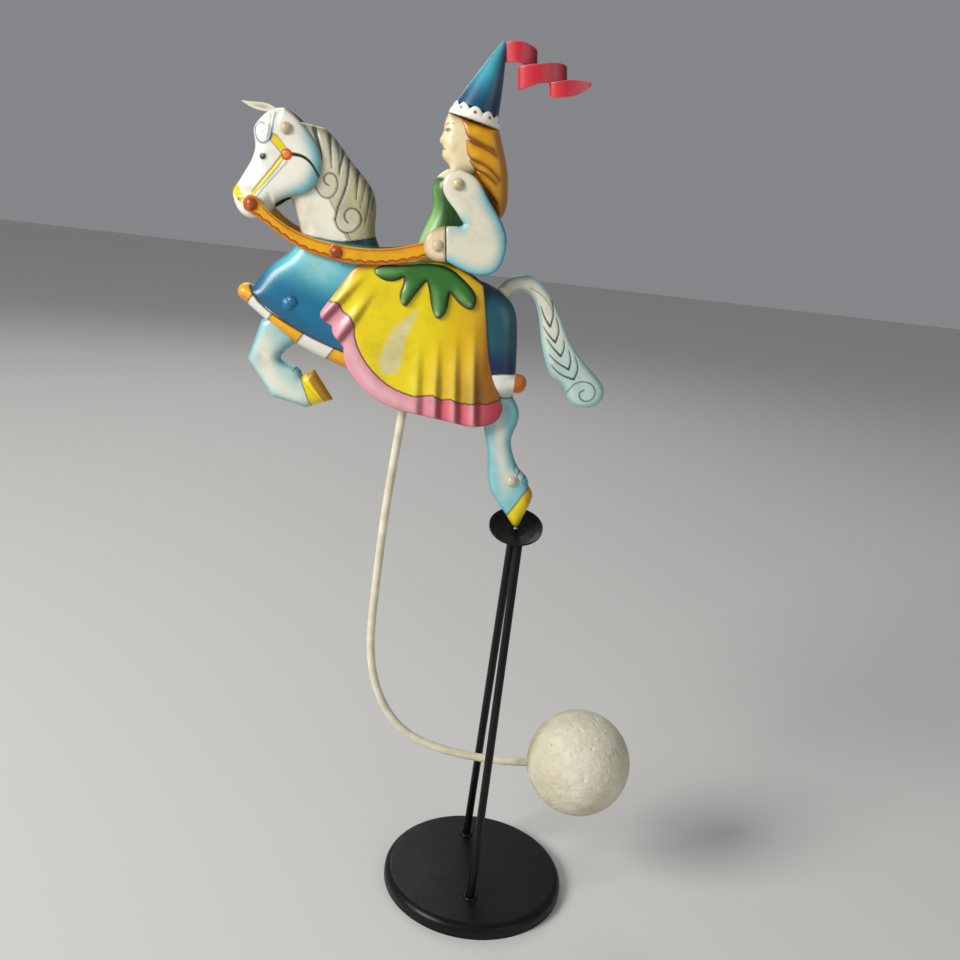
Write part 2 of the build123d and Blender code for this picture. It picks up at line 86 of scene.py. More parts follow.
HEAD = [
    [(-144.0, 440.4), (-150.2, 438.9), (-155.6, 434.2), (-158.7, 429.2), (-157.7, 421.9),
     (-158.6, 415.0), (-162.2, 407.8), (-165.9, 401.3), (-168.0, 397.2), (-167.4, 392.6),
     (-164.4, 387.2), (-159.5, 384.2), (-153.5, 385.0), (-147.6, 389.0)],
    [(-147.6, 389.0), (-142.5, 394.5), (-136.0, 397.4), (-128.5, 399.8), (-124.0, 404.5),
     (-122.0, 411.5), (-122.3, 418.5), (-125.3, 425.0), (-130.5, 430.8), (-137.0, 436.7),
     (-144.0, 440.4)],
]
FRONT_LEG = [
    [(-131.0, 351.0), (-137.5, 346.0), (-141.5, 339.5), (-150.0, 332.0)],
    [(-150.0, 332.0), (-156.5, 310.5)],
    [(-156.5, 310.5), (-142.0, 291.0)],
    [(-142.0, 291.0), (-122.5, 287.0)],
    [(-122.5, 287.0), (-108.5, 293.0)],
    [(-108.5, 293.0), (-120.0, 308.5)],
    [(-120.0, 308.5), (-126.0, 304.0)],
    [(-126.0, 304.0), (-128.5, 308.0), (-134.0, 309.5), (-138.5, 312.5), (-136.5, 316.5),
     (-128.5, 324.0), (-125.0, 333.0), (-124.5, 345.0), (-131.0, 351.0)],
]
TAIL = [
    [(-26.0, 362.0), (-21.5, 367.3), (-15.5, 370.5), (-8.8, 371.0), (-2.5, 367.7), (3.2, 361.8),
     (9.0, 353.0), (14.5, 343.2), (20.5, 334.2), (28.5, 326.0), (35.0, 320.0), (38.4, 313.5),
     (36.5, 307.8), (31.0, 304.7), (25.0, 304.5), (20.5, 307.0), (18.0, 311.5)],
    [(18.0, 311.5), (16.0, 314.8), (10.0, 318.3), (5.0, 326.0), (1.2, 337.0), (-1.3, 347.5),
     (-3.8, 355.5), (-8.0, 361.2), (-13.0, 362.8), (-19.0, 356.0)],
    [(-19.0, 356.0), (-26.0, 362.0)],
]
SKIRT = [
    [(-91.5, 368.0), (-98.5, 367.0), (-104.5, 360.0), (-110.0, 351.5), (-115.0, 344.0),
     (-117.0, 339.0), (-114.0, 335.6), (-110.5, 334.0)],
    [(-110.5, 334.0), (-109.6, 330.0), (-106.5, 326.5), (-103.5, 323.5)],
    [(-103.5, 323.5), (-102.5, 316.5), (-98.5, 309.5), (-91.0, 302.3), (-81.0, 296.3),
     (-71.0, 293.0), (-61.0, 291.8), (-51.0, 290.6), (-41.0, 289.5), (-33.0, 288.4),
     (-25.0, 289.5), (-18.0, 293.5), (-15.8, 299.5), (-18.5, 307.5), (-24.0, 320.5),
     (-28.0, 338.0), (-31.0, 354.5), (-33.0, 363.5)],
    [(-33.0, 363.5), (-41.5, 368.8), (-53.5, 373.0), (-66.0, 372.5), (-79.0, 370.5),
     (-91.5, 368.0)],
]
LEAVES = [
    [(-66.0, 371.5), (-78.0, 369.6)],
    [(-78.0, 369.6), (-86.0, 368.4), (-90.2, 364.8), (-86.5, 361.6), (-78.0, 361.5),
     (-74.5, 363.5)],
    [(-74.5, 363.5), (-74.8, 359.5), (-75.9, 354.0), (-73.0, 348.8), (-69.0, 353.0),
     (-62.5, 363.0)],
    [(-62.5, 363.0), (-60.6, 357.0), (-58.8, 350.0), (-54.5, 344.2), (-50.4, 349.6),
     (-50.0, 354.0), (-49.5, 358.5)],
    [(-49.5, 358.5), (-43.0, 352.3), (-37.2, 351.2), (-35.6, 355.5), (-40.5, 363.5),
     (-48.5, 369.5)],
    [(-48.5, 369.5), (-54.0, 371.5), (-66.0, 371.5)],
]
TORSO = [
    [(-58.0, 419.8), (-63.0, 415.5), (-65.0, 408.5), (-63.8, 402.0), (-65.8, 393.5),
     (-69.0, 385.0), (-71.5, 373.5)],
    [(-71.5, 373.5), (-72.0, 366.0)],
    [(-72.0, 366.0), (-40.0, 362.0)],
    [(-40.0, 362.0), (-37.5, 380.0), (-37.0, 395.0), (-38.5, 408.0), (-46.0, 419.8)],
    [(-46.0, 419.8), (-58.0, 419.8)],
]
RIDER_HEAD = [
    [(-57.5, 417.0), (-57.5, 421.5), (-59.5, 423.5), (-61.8, 427.0), (-61.6, 430.6),
     (-63.4, 432.6), (-62.3, 437.0), (-61.8, 442.0), (-60.0, 447.2)],
    [(-60.0, 447.2), (-35.0, 442.0)],
    [(-35.0, 442.0), (-31.5, 432.0), (-35.0, 422.0), (-46.5, 417.0)],
    [(-46.5, 417.0), (-57.5, 417.0)],
]
HAIR = [
    [(-55.0, 446.2), (-34.0, 441.6)],
    [(-34.0, 441.6), (-30.0, 431.0), (-26.8, 419.5), (-25.6, 409.0), (-26.0, 402.5),
     (-28.0, 398.5), (-34.0, 404.5), (-41.5, 413.5), (-46.0, 419.5), (-50.0, 424.0),
     (-51.8, 430.0), (-53.5, 439.0), (-55.0, 446.2)],
]
ARM = [
    [(-50.5, 419.5), (-56.5, 417.3), (-58.8, 411.5), (-56.5, 405.5), (-50.5, 399.0),
     (-47.6, 395.2)],
    [(-47.6, 395.2), (-46.6, 393.4), (-48.0, 392.2)],
    [(-48.0, 392.2), (-56.0, 391.3), (-62.0, 388.6), (-65.3, 383.5), (-64.6, 377.5),
     (-60.0, 374.0), (-52.5, 374.0)],
    [(-52.5, 374.0), (-44.0, 370.6), (-35.5, 369.0), (-27.5, 372.0), (-23.8, 380.0),
     (-24.6, 391.0), (-29.5, 399.5), (-36.5, 409.0), (-43.5, 417.0), (-50.5, 419.5)],
]
FRONT_REIN = [
    [(-153.5, 395.7), (-145.5, 388.3), (-133.0, 381.3), (-117.0, 377.1), (-108.0, 376.3)],
    [(-108.0, 376.3), (-106.0, 372.5), (-108.0, 368.4)],
    [(-108.0, 368.4), (-118.5, 369.7), (-135.0, 375.0), (-147.5, 382.5), (-158.5, 388.3)],
    [(-158.5, 388.3), (-159.7, 392.5), (-157.0, 395.8), (-153.5, 395.7)],
]
REAR_REIN = [
    [(-112.0, 376.6), (-100.0, 376.0), (-82.5, 377.6), (-66.5, 382.2), (-58.0, 385.3)],
    [(-58.0, 385.3), (-54.8, 382.0), (-57.0, 377.4)],
    [(-57.0, 377.4), (-66.0, 373.9), (-85.0, 369.0), (-101.0, 367.8), (-112.0, 368.4)],
    [(-112.0, 368.4), (-114.2, 372.5), (-112.0, 376.6)],
]
EAR = [
    [(-145.0, 438.0), (-151.5, 437.4)],
    [(-151.5, 437.4), (-158.0, 438.1), (-165.4, 441.3)],
    [(-165.4, 441.3), (-158.0, 441.4), (-151.0, 441.0), (-145.0, 438.0)],
]


# Colours: ink values as they look on the tin, turned to linear light
def ink(red, green, blue):
    return np.array([(c / 255) ** 2.2 for c in (red, green, blue)])


CREAM, IVORY, WHITE = ink(224, 216, 190), ink(238, 234, 212), ink(244, 243, 230)
DARK_TEAL, TEAL_LINE = ink(18, 58, 62), ink(44, 84, 86)
SKY, MID_BLUE, DEEP_BLUE = ink(98, 190, 205), ink(22, 110, 148), ink(10, 50, 92)
YELLOW, GOLD = ink(240, 214, 10), ink(240, 176, 10)
ORANGE, RUST = ink(224, 116, 10), ink(166, 66, 10)
PINK, ROSE, CRIMSON = ink(228, 150, 166), ink(205, 60, 84), ink(140, 26, 42)
LEAF, LEAF_DARK, LEAF_HIGHLIGHT = ink(46, 108, 40), ink(12, 44, 22), ink(120, 170, 100)
LINE, SKIN = ink(26, 20, 16), ink(238, 220, 176)
BLONDE, BROWN = ink(206, 148, 16), ink(116, 54, 6)


def curve(points, steps):
    """Points along a natural cubic spline through the given ones."""
    p = np.array(points, float)
    t = np.concatenate([[0], np.cumsum(np.linalg.norm(np.diff(p, axis=0), axis=1))])
    n, h = len(p), np.diff(t)
    grid = np.eye(n)
    rhs = np.zeros_like(p)
    for i in range(1, n - 1):
        grid[i, i - 1:i + 2] = h[i - 1], 2 * (h[i - 1] + h[i]), h[i]
        rhs[i] = 6 * ((p[i + 1] - p[i]) / h[i] - (p[i] - p[i - 1]) / h[i - 1])
    bend = np.linalg.solve(grid, rhs)
    u = np.linspace(0, t[-1], steps + 1)
    k = np.clip(np.searchsorted(t, u, side="right") - 1, 0, n - 2)
    a, b = (t[k + 1] - u)[:, None], (u - t[k])[:, None]
    hk = h[k][:, None]
    return (bend[k] * a**3 + bend[k + 1] * b**3) / (6 * hk) + (
        p[k] / hk - bend[k] * hk / 6) * a + (p[k + 1] / hk - bend[k + 1] * hk / 6) * b


def loop_of(runs, step):
    """An outline as a closed ring of points about step apart."""
    ring = []
    for run in runs:
        p = np.array(run, float)
        length = np.linalg.norm(np.diff(p, axis=0), axis=1).sum()
        steps = max(2, round(length / step))
        line = p[0] + np.linspace(0, 1, steps + 1)[:, None] * (p[-1] - p[0])
        ring.append((line if len(run) == 2 else curve(run, steps))[:-1])
    return np.vstack(ring)


def inside(points, ring):
    """Which points lie inside a closed ring."""
    x, z = points.T
    hit = np.zeros(len(points), bool)
    for (x0, z0), (x1, z1) in zip(ring, np.roll(ring, -1, axis=0)):
        if z0 != z1:
            hit ^= ((z0 > z) != (z1 > z)) & (x < (x1 - x0) * (z - z0) / (z1 - z0) + x0)
    return hit


def edge_distance(points, ring):
    """A smooth distance to the ring: equal to the true one beside a long straight edge."""
    total = np.zeros(len(points))
    for start, end in zip(ring, np.roll(ring, -1, axis=0)):
        length = max(np.hypot(*(end - start)), 1e-9)
        ux, uz = (end - start) / length
        dx, dz = points[:, 0] - start[0], points[:, 1] - start[1]
        along, off = dx * ux + dz * uz, np.maximum((dx * uz - dz * ux) ** 2, 1e-4)
        ahead = length - along
        total += (ahead / np.sqrt(off + ahead**2) + along / np.sqrt(off + along**2)) / off
    return np.sqrt(2 / np.maximum(total, 1e-9))


def line_distance(points, line):
    """Distance to an open line, and how far along it the nearest place is, 0 to 1."""
    line = np.array(line, float)
    spans = np.linalg.norm(np.diff(line, axis=0), axis=1)
    run = np.concatenate([[0], np.cumsum(spans)]) / max(spans.sum(), 1e-9)
    best, at = np.full(len(points), 1e9), np.zeros(len(points))
    for i in range(len(line) - 1):
        step = line[i + 1] - line[i]
        t = np.clip((points - line[i]) @ step / max(step @ step, 1e-9), 0, 1)
        d = np.linalg.norm(points - line[i] - t[:, None] * step, axis=1)
        near = d < best
        best[near], at[near] = d[near], (run[i] + t * (run[i + 1] - run[i]))[near]
    return best, at


def ramp(value, low, high):
    t = np.clip((value - low) / (high - low), 0, 1)
    return t * t * (3 - 2 * t)


def lay(colour, new, mask):
    """Ink laid over the colour, one for all points or one each, where the mask is 1."""
    return colour + (new - colour) * np.clip(mask, 0, 1)[:, None]


def brush(points, line, wide, end_wide=None, smooth=True):
    """The mask of a stroke that may taper."""
    path = curve(line, 24) if smooth and len(line) > 2 else line
    d, at = line_distance(points, path)
    width = wide + ((wide if end_wide is None else end_wide) - wide) * at
    return ramp(width / 2 - d, -0.28, 0.28)


def highlight_streak(points, line, wide):
    """The mask of a painted highlight streak that fades out sideways and at both ends."""
    d, at = line_distance(points, curve(line, 24) if len(line) > 2 else line)
    return np.exp(-((d / wide) ** 2)) * np.sqrt(np.clip(np.sin(math.pi * at), 0, 1))


def dot(points, centre, radius, blur=0.3):
    return ramp(radius - np.hypot(*(points - np.array(centre)).T), -blur, blur)


def patch(points, corners, blur=0.3):
    """The mask of a filled area."""
    ring = np.array(corners, float)
    d, _ = line_distance(points, np.vstack([ring, ring[:1]]))
    return ramp(np.where(inside(points, ring), d, -d), -blur, blur)


def domed(d, reach, height):
    t = 1 - np.clip(d / reach, 0, 1)
    return height * np.sqrt(np.clip(1 - t * t, 0, 1))


def bump(points, centre, radius, height):
    r = np.hypot(*(points - np.array(centre)).T) / radius
    return height * np.sqrt(np.clip(1 - r * r, 0, 1))


def painted(name, points, faces, colours):
    """A smooth object over points in millimetres, with a colour each."""
    mesh = bpy.data.meshes.new(name)
    mesh.from_pydata((points * MM).tolist(), [], faces)
    layer = mesh.color_attributes.new("paint", "FLOAT_COLOR", "POINT")
    layer.data.foreach_set("color", np.hstack([colours, np.ones((len(points), 1))]).ravel())
    mesh.update()
    mesh.shade_smooth()
    obj = bpy.data.objects.new(name, mesh)
    bpy.context.collection.objects.link(obj)
    return obj


# Rings of points this far inside an outline, in millimetres, that keep a pressed rim even
RIM_BANDS = (0.12, 0.4, 0.9)


def pressed(name, runs, step, depth, paint, open_sheet=False):
    """Left and right halves over an outline. depth and paint are given the points and each
    one's distance from the edge; depth is measured from the mirror plane.
    """
    ring = loop_of(runs, step)
    low, high = ring.min(0), ring.max(0)
    xs, zs = (np.arange(low[i] + step / 2, high[i], step) for i in range(2))
    rows = np.stack(np.meshgrid(xs, zs), axis=-1).reshape(-1, 2)
    rows = rows[inside(rows, ring)]
    gap, _ = line_distance(rows, np.vstack([ring, ring[:1]]))
    across = np.roll(ring, -1, axis=0) - np.roll(ring, 1, axis=0)
    across = across[:, ::-1] * [-1, 1] / np.maximum(np.linalg.norm(across, axis=1), 1e-9)[:, None]
    across *= 1 if inside(ring + 0.05 * across, ring).mean() > 0.5 else -1
    bands = []
    for far in RIM_BANDS:
        band = ring + far * across
        gap_here = edge_distance(band, ring)
        bands.append(band[inside(band, ring) & (gap_here > 0.85 * far)])
    points = np.vstack([ring, *bands, rows[gap > RIM_BANDS[-1] + 0.5 * step]])
    n = len(ring)
    rim = [(i, (i + 1) % n) for i in range(n)]
    flat, _, faces, *_ = delaunay_2d_cdt([Vector(p) for p in points], rim, [], 1, 1e-6)
    points = np.array([tuple(v) for v in flat])
    d = edge_distance(points, ring)
    d[:n] = 0
    y = depth(points, d)
    colours = paint(points, d)
    co = np.stack([points[:, 0], -y, points[:, 1]], axis=1)
    tris = [tuple(f) for f in faces]
    if open_sheet:
        back = co + [0, SHEET, 0]
        count = len(co)
        co = np.vstack([co, back])
        # The inner side carries the print at half brightness: painted shade inside the open
        # pressing.
        colours = np.vstack([colours, colours * 0.5])
        tris += [tuple(i + count for i in reversed(f)) for f in faces]
        tris += [(b, a, a + count, b + count) for a, b in rim]
    made = []
    for side, sign in (("left", 1), ("right", -1)):
        polys = tris if sign == 1 else [tuple(reversed(f)) for f in tris]
        made.append(painted(f"tin_{name}_{side}", co * [1, sign, 1], polys, colours))
        face_up(made[-1].data, -sign)
    return made


def face_up(mesh, sign):
    """Turns the mesh inside out if its skin faces the mirror plane."""
    total = sum(p.normal.y * p.area for p in mesh.polygons[: len(mesh.polygons) // 3])
    if total * sign < 0:
        mesh.flip_normals()


# Materials


class Nodes:
    """A material's node tree, with short calls to add to it."""

    def __init__(self, name):
        self.material = bpy.data.materials.new(name)
        self.material.use_nodes = True
        self.tree = self.material.node_tree
        self.shader = self.tree.nodes["Principled BSDF"]
        self.where = self.add("ShaderNodeTexCoord").outputs["Object"]

    def add(self, kind, **settings):
        node = self.tree.nodes.new(kind)
        for key, value in settings.items():
            if key in node.inputs:
                node.inputs[key].default_value = value
            else:
                setattr(node, key, value)
        return node

    def link(self, source, target):
        self.tree.links.new(source, target)

    def noise(self, scale, detail=4.0, rough=0.6, stretch=None):
        node = self.add("ShaderNodeTexNoise", Scale=scale, Detail=detail, Roughness=rough)
        where = self.where
        if stretch:
            mapping = self.add("ShaderNodeMapping")
            mapping.inputs["Scale"].default_value = stretch
            self.link(where, mapping.inputs["Vector"])
            where = mapping.outputs["Vector"]
        self.link(where, node.inputs["Vector"])
        return node.outputs["Fac"]

    def ramped(self, source, low, high, out_low=0.0, out_high=1.0):
        node = self.add("ShaderNodeMapRange")
        for key, value in zip(("From Min", "From Max", "To Min", "To Max"),
                              (low, high, out_low, out_high)):
            node.inputs[key].default_value = value
        self.link(source, node.inputs["Value"])
        return node.outputs["Result"]

    def mix(self, factor, a, b, blend="MIX"):
        node = self.add("ShaderNodeMix", data_type="RGBA", blend_type=blend)
        for socket, value in ((node.inputs["Factor"], factor), (node.inputs[6], a),
                              (node.inputs[7], b)):
            if isinstance(value, bpy.types.NodeSocket):
                self.link(value, socket)
            elif isinstance(value, float):
                socket.default_value = value
            else:
                socket.default_value = (*value, 1.0)
        return node.outputs[2]

    def bumped(self, source, distance, strength=0.4):
        node = self.add("ShaderNodeBump", Strength=strength, Distance=distance)
        self.link(source, node.inputs["Height"])
        self.link(node.outputs["Normal"], self.shader.inputs["Normal"])

    def finish(self, colour, rough, **settings):
        self.link(colour, self.shader.inputs["Base Color"])
        self.link(rough, self.shader.inputs["Roughness"])
        for key, value in settings.items():
            self.shader.inputs[key.replace("_", " ")].default_value = value
        return self.material


def printed_tin(name, grime=0.35, wear=0.6, rough=0.36, brushwork=0.12):
    """Lithographed tin: the painted colour, uneven ink, grime in patches, small chips."""
    n = Nodes(name)
    paint = n.add("ShaderNodeVertexColor", layer_name="paint").outputs["Color"]
    streaks = n.noise(90, 3, 0.55, (1.0, 1.0, 0.3))
    paint = n.mix(n.ramped(streaks, 0.35, 0.75, 0.0, brushwork), paint, ink(240, 234, 214),
                  "OVERLAY")
    mottle = n.noise(38, 6, 0.65)
    paint = n.mix(n.ramped(mottle, 0.5, 0.78, 0.0, grime), paint, ink(96, 74, 46), "MULTIPLY")
    chips = n.ramped(n.noise(520, 8, 0.72), 0.735, 0.75, 0.0, wear)
    paint = n.mix(chips, paint, ink(104, 66, 38))
    n.bumped(n.noise(260, 5, 0.6), 0.00012, 0.35)
    return n.finish(paint, n.ramped(mottle, 0.3, 0.8, rough - 0.08, rough + 0.18),
                    Coat_Weight=0.25, Coat_Roughness=0.2)


def enamel(name, base, second, rough, bump_mm, scale=60.0, chip=None, metallic=0.0, coat=0.2,
           shine=0.5):
    """Brushed-on or bare finish on a CAD piece: two tones, specks and an uneven skin."""
    n = Nodes(name)
    cloud = n.noise(scale, 7, 0.62)
    colour = n.mix(n.ramped(cloud, 0.35, 0.7), base, second)
    specks = n.ramped(n.noise(scale * 9, 8, 0.7), 0.68, 0.72, 0.0, 0.8)
    colour = n.mix(specks, colour, chip if chip is not None else second * 0.6)
    n.bumped(n.noise(scale * 5, 6, 0.6), bump_mm * MM, 0.6)
    return n.finish(colour, n.ramped(cloud, 0.3, 0.75, rough - 0.07, rough + 0.14),
                    Metallic=metallic, Coat_Weight=coat, Coat_Roughness=0.15,
                    Specular_IOR_Level=shine)


def wear(piece, node, body, material, slot):
    """Gives a piece its material and its body, and hides the CAD node it stands for."""
    piece.data.materials.append(material)
    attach(piece, body)
    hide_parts(node)


def dress(pieces, node, body, material, slot):
    """The same for a left and right pair."""
    for piece, side in zip(pieces, ("_left", "_right")):
        wear(piece, node + side, body, material, slot)


# The horse

HEM_TOP = [(-158.5, 353.0), (-150.5, 342.5), (-134.5, 332.5), (-118.0, 325.5), (-100.0, 320.0),
           (-60.0, 314.0), (-30.0, 317.5), (-8.0, 319.2)]
HEM_SLANT = 0.73
HEM_BREAKS = (-405.8, -388.4, -364.8, -343.5)
MANE = [(-127.0, 431.5), (-125.0, 403.0), (-121.0, 399.5), (-116.5, 398.0), (-113.5, 393.0),
        (-113.0, 388.5), (-109.5, 383.5), (-104.0, 376.5), (-88.0, 376.5), (-88.0, 435.0),
        (-127.0, 437.0)]
MANE_STROKES = [
    ([(-127.5, 432.0), (-124.0, 424.5), (-122.0, 417.0)], 2.6, 0.6),
    ([(-120.0, 431.5), (-118.5, 425.5), (-116.5, 413.5)], 2.0, 0.3),
    ([(-116.5, 428.5), (-114.5, 423.5), (-112.5, 410.0)], 0.9, 0.3),
    ([(-112.5, 426.0), (-112.0, 421.5), (-112.5, 410.5)], 1.9, 0.3),
    ([(-109.0, 419.5), (-108.0, 410.0), (-109.5, 401.5), (-112.0, 394.0), (-113.0, 388.5)],
     1.3, 1.2),
    ([(-104.0, 416.0), (-103.0, 406.5), (-103.0, 399.5)], 2.2, 0.3),
    ([(-99.5, 410.5), (-99.5, 404.5), (-100.5, 395.5)], 0.9, 0.3),
    ([(-97.0, 407.0), (-96.5, 402.0), (-97.5, 388.5)], 1.5, 0.3),
    ([(-94.5, 401.5), (-95.5, 391.0)], 0.9, 0.3),
    ([(-124.5, 404.0), (-121.0, 399.5), (-117.5, 398.5), (-114.0, 401.5), (-113.0, 406.0),
      (-114.5, 410.0), (-117.5, 411.0), (-120.0, 409.0), (-119.5, 406.0), (-117.5, 405.0)],
     0.7, 0.9),
    ([(-113.0, 388.5), (-110.0, 383.5), (-105.5, 382.5), (-101.5, 385.0), (-99.5, 390.0),
      (-101.5, 394.0), (-105.0, 395.0), (-108.0, 392.5), (-108.0, 389.5), (-106.0, 387.5)],
     0.9, 0.9),
    ([(-116.5, 398.0), (-113.5, 393.0)], 0.5, 0.4),
    ([(-105.8, 382.3), (-104.0, 379.3)], 0.5, 0.4),
]
COLLAR = [(-133.0, 379.6), (-118.0, 378.0), (-108.5, 377.8), (-91.5, 381.8)]
HIND_HOOF = [(-6.6, 238.0), (1.0, 252.0), (4.5, 257.5), (9.0, 254.0), (9.0, 230.0), (-3.0, 228.0)]


def hem_height(x):
    return np.interp(x, *np.array(HEM_TOP).T)


def hind_leg(points):
    """1 on the raised hind leg, 0 on the body."""
    x, z = points.T
    return ramp(z, 312, 300) * (x > -33)


def horse_depth(points, d):
    x, z = points.T
    leg = hind_leg(points)
    half = BODY_HALF + (NECK_HALF - BODY_HALF) * ramp(z, 373, 392)
    half = half + (LEG_HALF - 0.3 - half) * leg
    reach = 12.0 - 4.0 * ramp(z, 375, 395) - 6.0 * leg
    y = domed(d, reach, half)
    under_hem = (1 - leg) * (z > 306 - 6 * (x < -34)) * (z < 360)
    band = hem_height(x) - z
    y += 0.75 * ramp(band, -0.4, 1.0) * under_hem * ramp(d, 0, 1.5)
    y -= 0.5 * brush(points, HEM_TOP, 1.1) * under_hem
    for line, wide, _ in MANE_STROKES:
        y -= 0.35 * min(wide, 1.6) * brush(points, line, wide + 0.5, 0.6)
    y += bump(points, (-134.0, 342.5), 2.9, 1.6)
    return y * np.where(d > 0, 1, 0)


def horse_paint(points, d):
    x, z = points.T
    cloth = lay(MID_BLUE, SKY, ramp(z + 0.3 * x, 308, 328))
    cloth = lay(cloth, DEEP_BLUE, ramp(z + 0.55 * x, 272, 252) * 0.9)
    # A soft pale spot high on the chest: painted highlight.
    cloth = lay(cloth, ink(176, 226, 226), dot(points, (-119, 367), 9, 7) * 0.55)
    # Behind the skirt the cloth is dark teal, darker still towards the top, the bottom and the rear
    # edge: painted shade on the rump.
    rear = ramp(x, -40, -31)
    rump_shade = lay(ink(30, 84, 96), ink(12, 44, 58), ramp(z, 350, 366))
    rump_shade = lay(rump_shade, ink(10, 44, 84), ramp(z, 336, 322))
    rump_shade = lay(rump_shade, ink(8, 30, 44), ramp(x, -17, -10) * 0.8)
    cloth = lay(cloth, rump_shade, rear)
    # A dark teal band just under the collar: painted shade of the body below the neck.
    cloth = lay(cloth, DARK_TEAL, ramp(z, 374, 378) * ramp(x, -120, -104))
    # Darker towards the outline: painted shade where the pressing turns under.
    cloth = lay(cloth, DEEP_BLUE * 0.7, ramp(d, 2.2, 0.2) * 0.55)
    # The neck turns cream, then brown towards its outline, and the mane khaki towards its lower
    # rear and its outline: painted shade.
    neck = lay(IVORY, CREAM, ramp(d, 9, 2))
    neck = lay(neck, ink(150, 132, 96), ramp(d, 2.5, 0.2) * 0.7)
    mane = lay(ink(206, 200, 172), ink(182, 172, 134), ramp(x - 0.5 * z, -322, -300))
    mane = lay(mane, ink(126, 112, 66), ramp(d, 4, 0.3) * 0.6)
    neck = lay(neck, mane, patch(points, MANE))
    curls = dot(points, (-118.7, 404.6), 5.4) + dot(points, (-106.3, 388.8), 6.0)
    neck = lay(neck, ink(206, 200, 172), curls * 0.8)
    for line, wide, end in MANE_STROKES:
        neck = lay(neck, DARK_TEAL, brush(points, line, wide, end) * 0.88)
    above = ramp(z - np.interp(x, *np.array(COLLAR).T), -0.2, 0.2)
    colour = lay(cloth, neck, above * (z > 372))
    colour = lay(colour, LINE, brush(points, COLLAR, 0.7))
    slant = x - HEM_SLANT * z
    hem = WHITE * 0.92
    for low, high in ((-999, HEM_BREAKS[0]), HEM_BREAKS[1:3], (HEM_BREAKS[3], -300)):
        panel = ramp(slant, low - 0.2, low + 0.2) * ramp(slant, high + 0.2, high - 0.2)
        hem = lay(hem, GOLD, panel)
    hem = lay(hem, ORANGE, ramp(hem_height(x) - z, 3, 11) * (hem[:, 2] < 0.1) * 0.8)
    # The hem darkens towards its lower edge, and to a darker orange where it turns round the rear
    # edge: painted shade on the rolled band.
    hem = lay(hem, ink(150, 128, 92), ramp(hem_height(x) - z, 6, 12) * 0.5)
    hem = lay(hem, ORANGE * 0.75, (x > -10.6) * 1.0)
    for at in HEM_BREAKS:
        hem = lay(hem, LINE, ramp(0.45 - abs(slant - at), -0.2, 0.2))
    below = ramp(hem_height(x) - z, -0.2, 0.2) * (z < 356)
    colour = lay(colour, hem, below)
    colour = lay(colour, LINE, brush(points, HEM_TOP, 0.75) * (z < 353))
    leg = ink(126, 190, 198)
    shin = [(-18, 309), (-15.5, 285), (-12, 268), (-7, 248)]
    # A pale streak down the shin: painted highlight.
    leg = lay(leg, ink(222, 222, 204), highlight_streak(points, shin, 3.6) * 0.85)
    leg = lay(leg, ink(70, 150, 166), ramp(d, 2.0, 0.3) * 0.7)
    leg = lay(leg, IVORY, dot(points, (-5, 262), 4.5, 2.5) * 0.5)
    for line in ([(-1.5, 266), (-3.0, 262), (-0.5, 259.5)], [(1.5, 263), (0.2, 260), (2.6, 257.8)],
                 [(-4, 269.5), (-5.4, 266), (-3.4, 263.6)]):
        leg = lay(leg, TEAL_LINE, brush(points, line, 0.8, 0.3))
    # The rear strip of the hoof in a darker gold: painted shade on its edge wall.
    hoof = lay(YELLOW, GOLD * 0.7, ramp(x + 0.3 * z, 76, 80))
    leg = lay(leg, hoof, patch(points, HIND_HOOF))
    coronet = [(-6.8, 238.0), (1.0, 252.0), (4.8, 257.8)]
    leg = lay(leg, LINE, brush(points, coronet, 0.6, smooth=False))
    colour = lay(colour, leg, ((z < 305.5) & (x > -33)) * 1.0)
    return lay(colour, LINE, brush(points, [(-31, 305.2), (-9, 305.8)], 0.9, smooth=False))


NECK_SLOT_FRONT = (389, 400, 414, 428, 442), (-144.5, -146.5, -147.5, -144.5, -142.5)


def head_depth(points, d):
    x, z = points.T
    slot = np.interp(z, *NECK_SLOT_FRONT)
    y = ramp(x - slot, -1.7, 1.2) * (NECK_HALF + 0.4)
    y = y + domed(d, 8.0, 1.0) * (HEAD_HALF - y) * (0.82 + 0.18 * ramp(x, -162, -148))
    y += 0.5 * bump(points, CHEEK_BOSS, 2.2, 1.0)
    y -= 0.35 * brush(points, [(-141.5, 416), (-156, 396.5)], 0.8, smooth=False)
    y -= 1.2 * ramp(abs(z - 397.5), 3.5, 0.0) * ramp(x, -152, -158) * ramp(d, 0, 3)
    y += bump(points, (-151.0, 415.5), 2.4, 0.5)
    y += 0.6 * dot(points, (-152.0, 427.0), 4.6, 1.2)
    return y


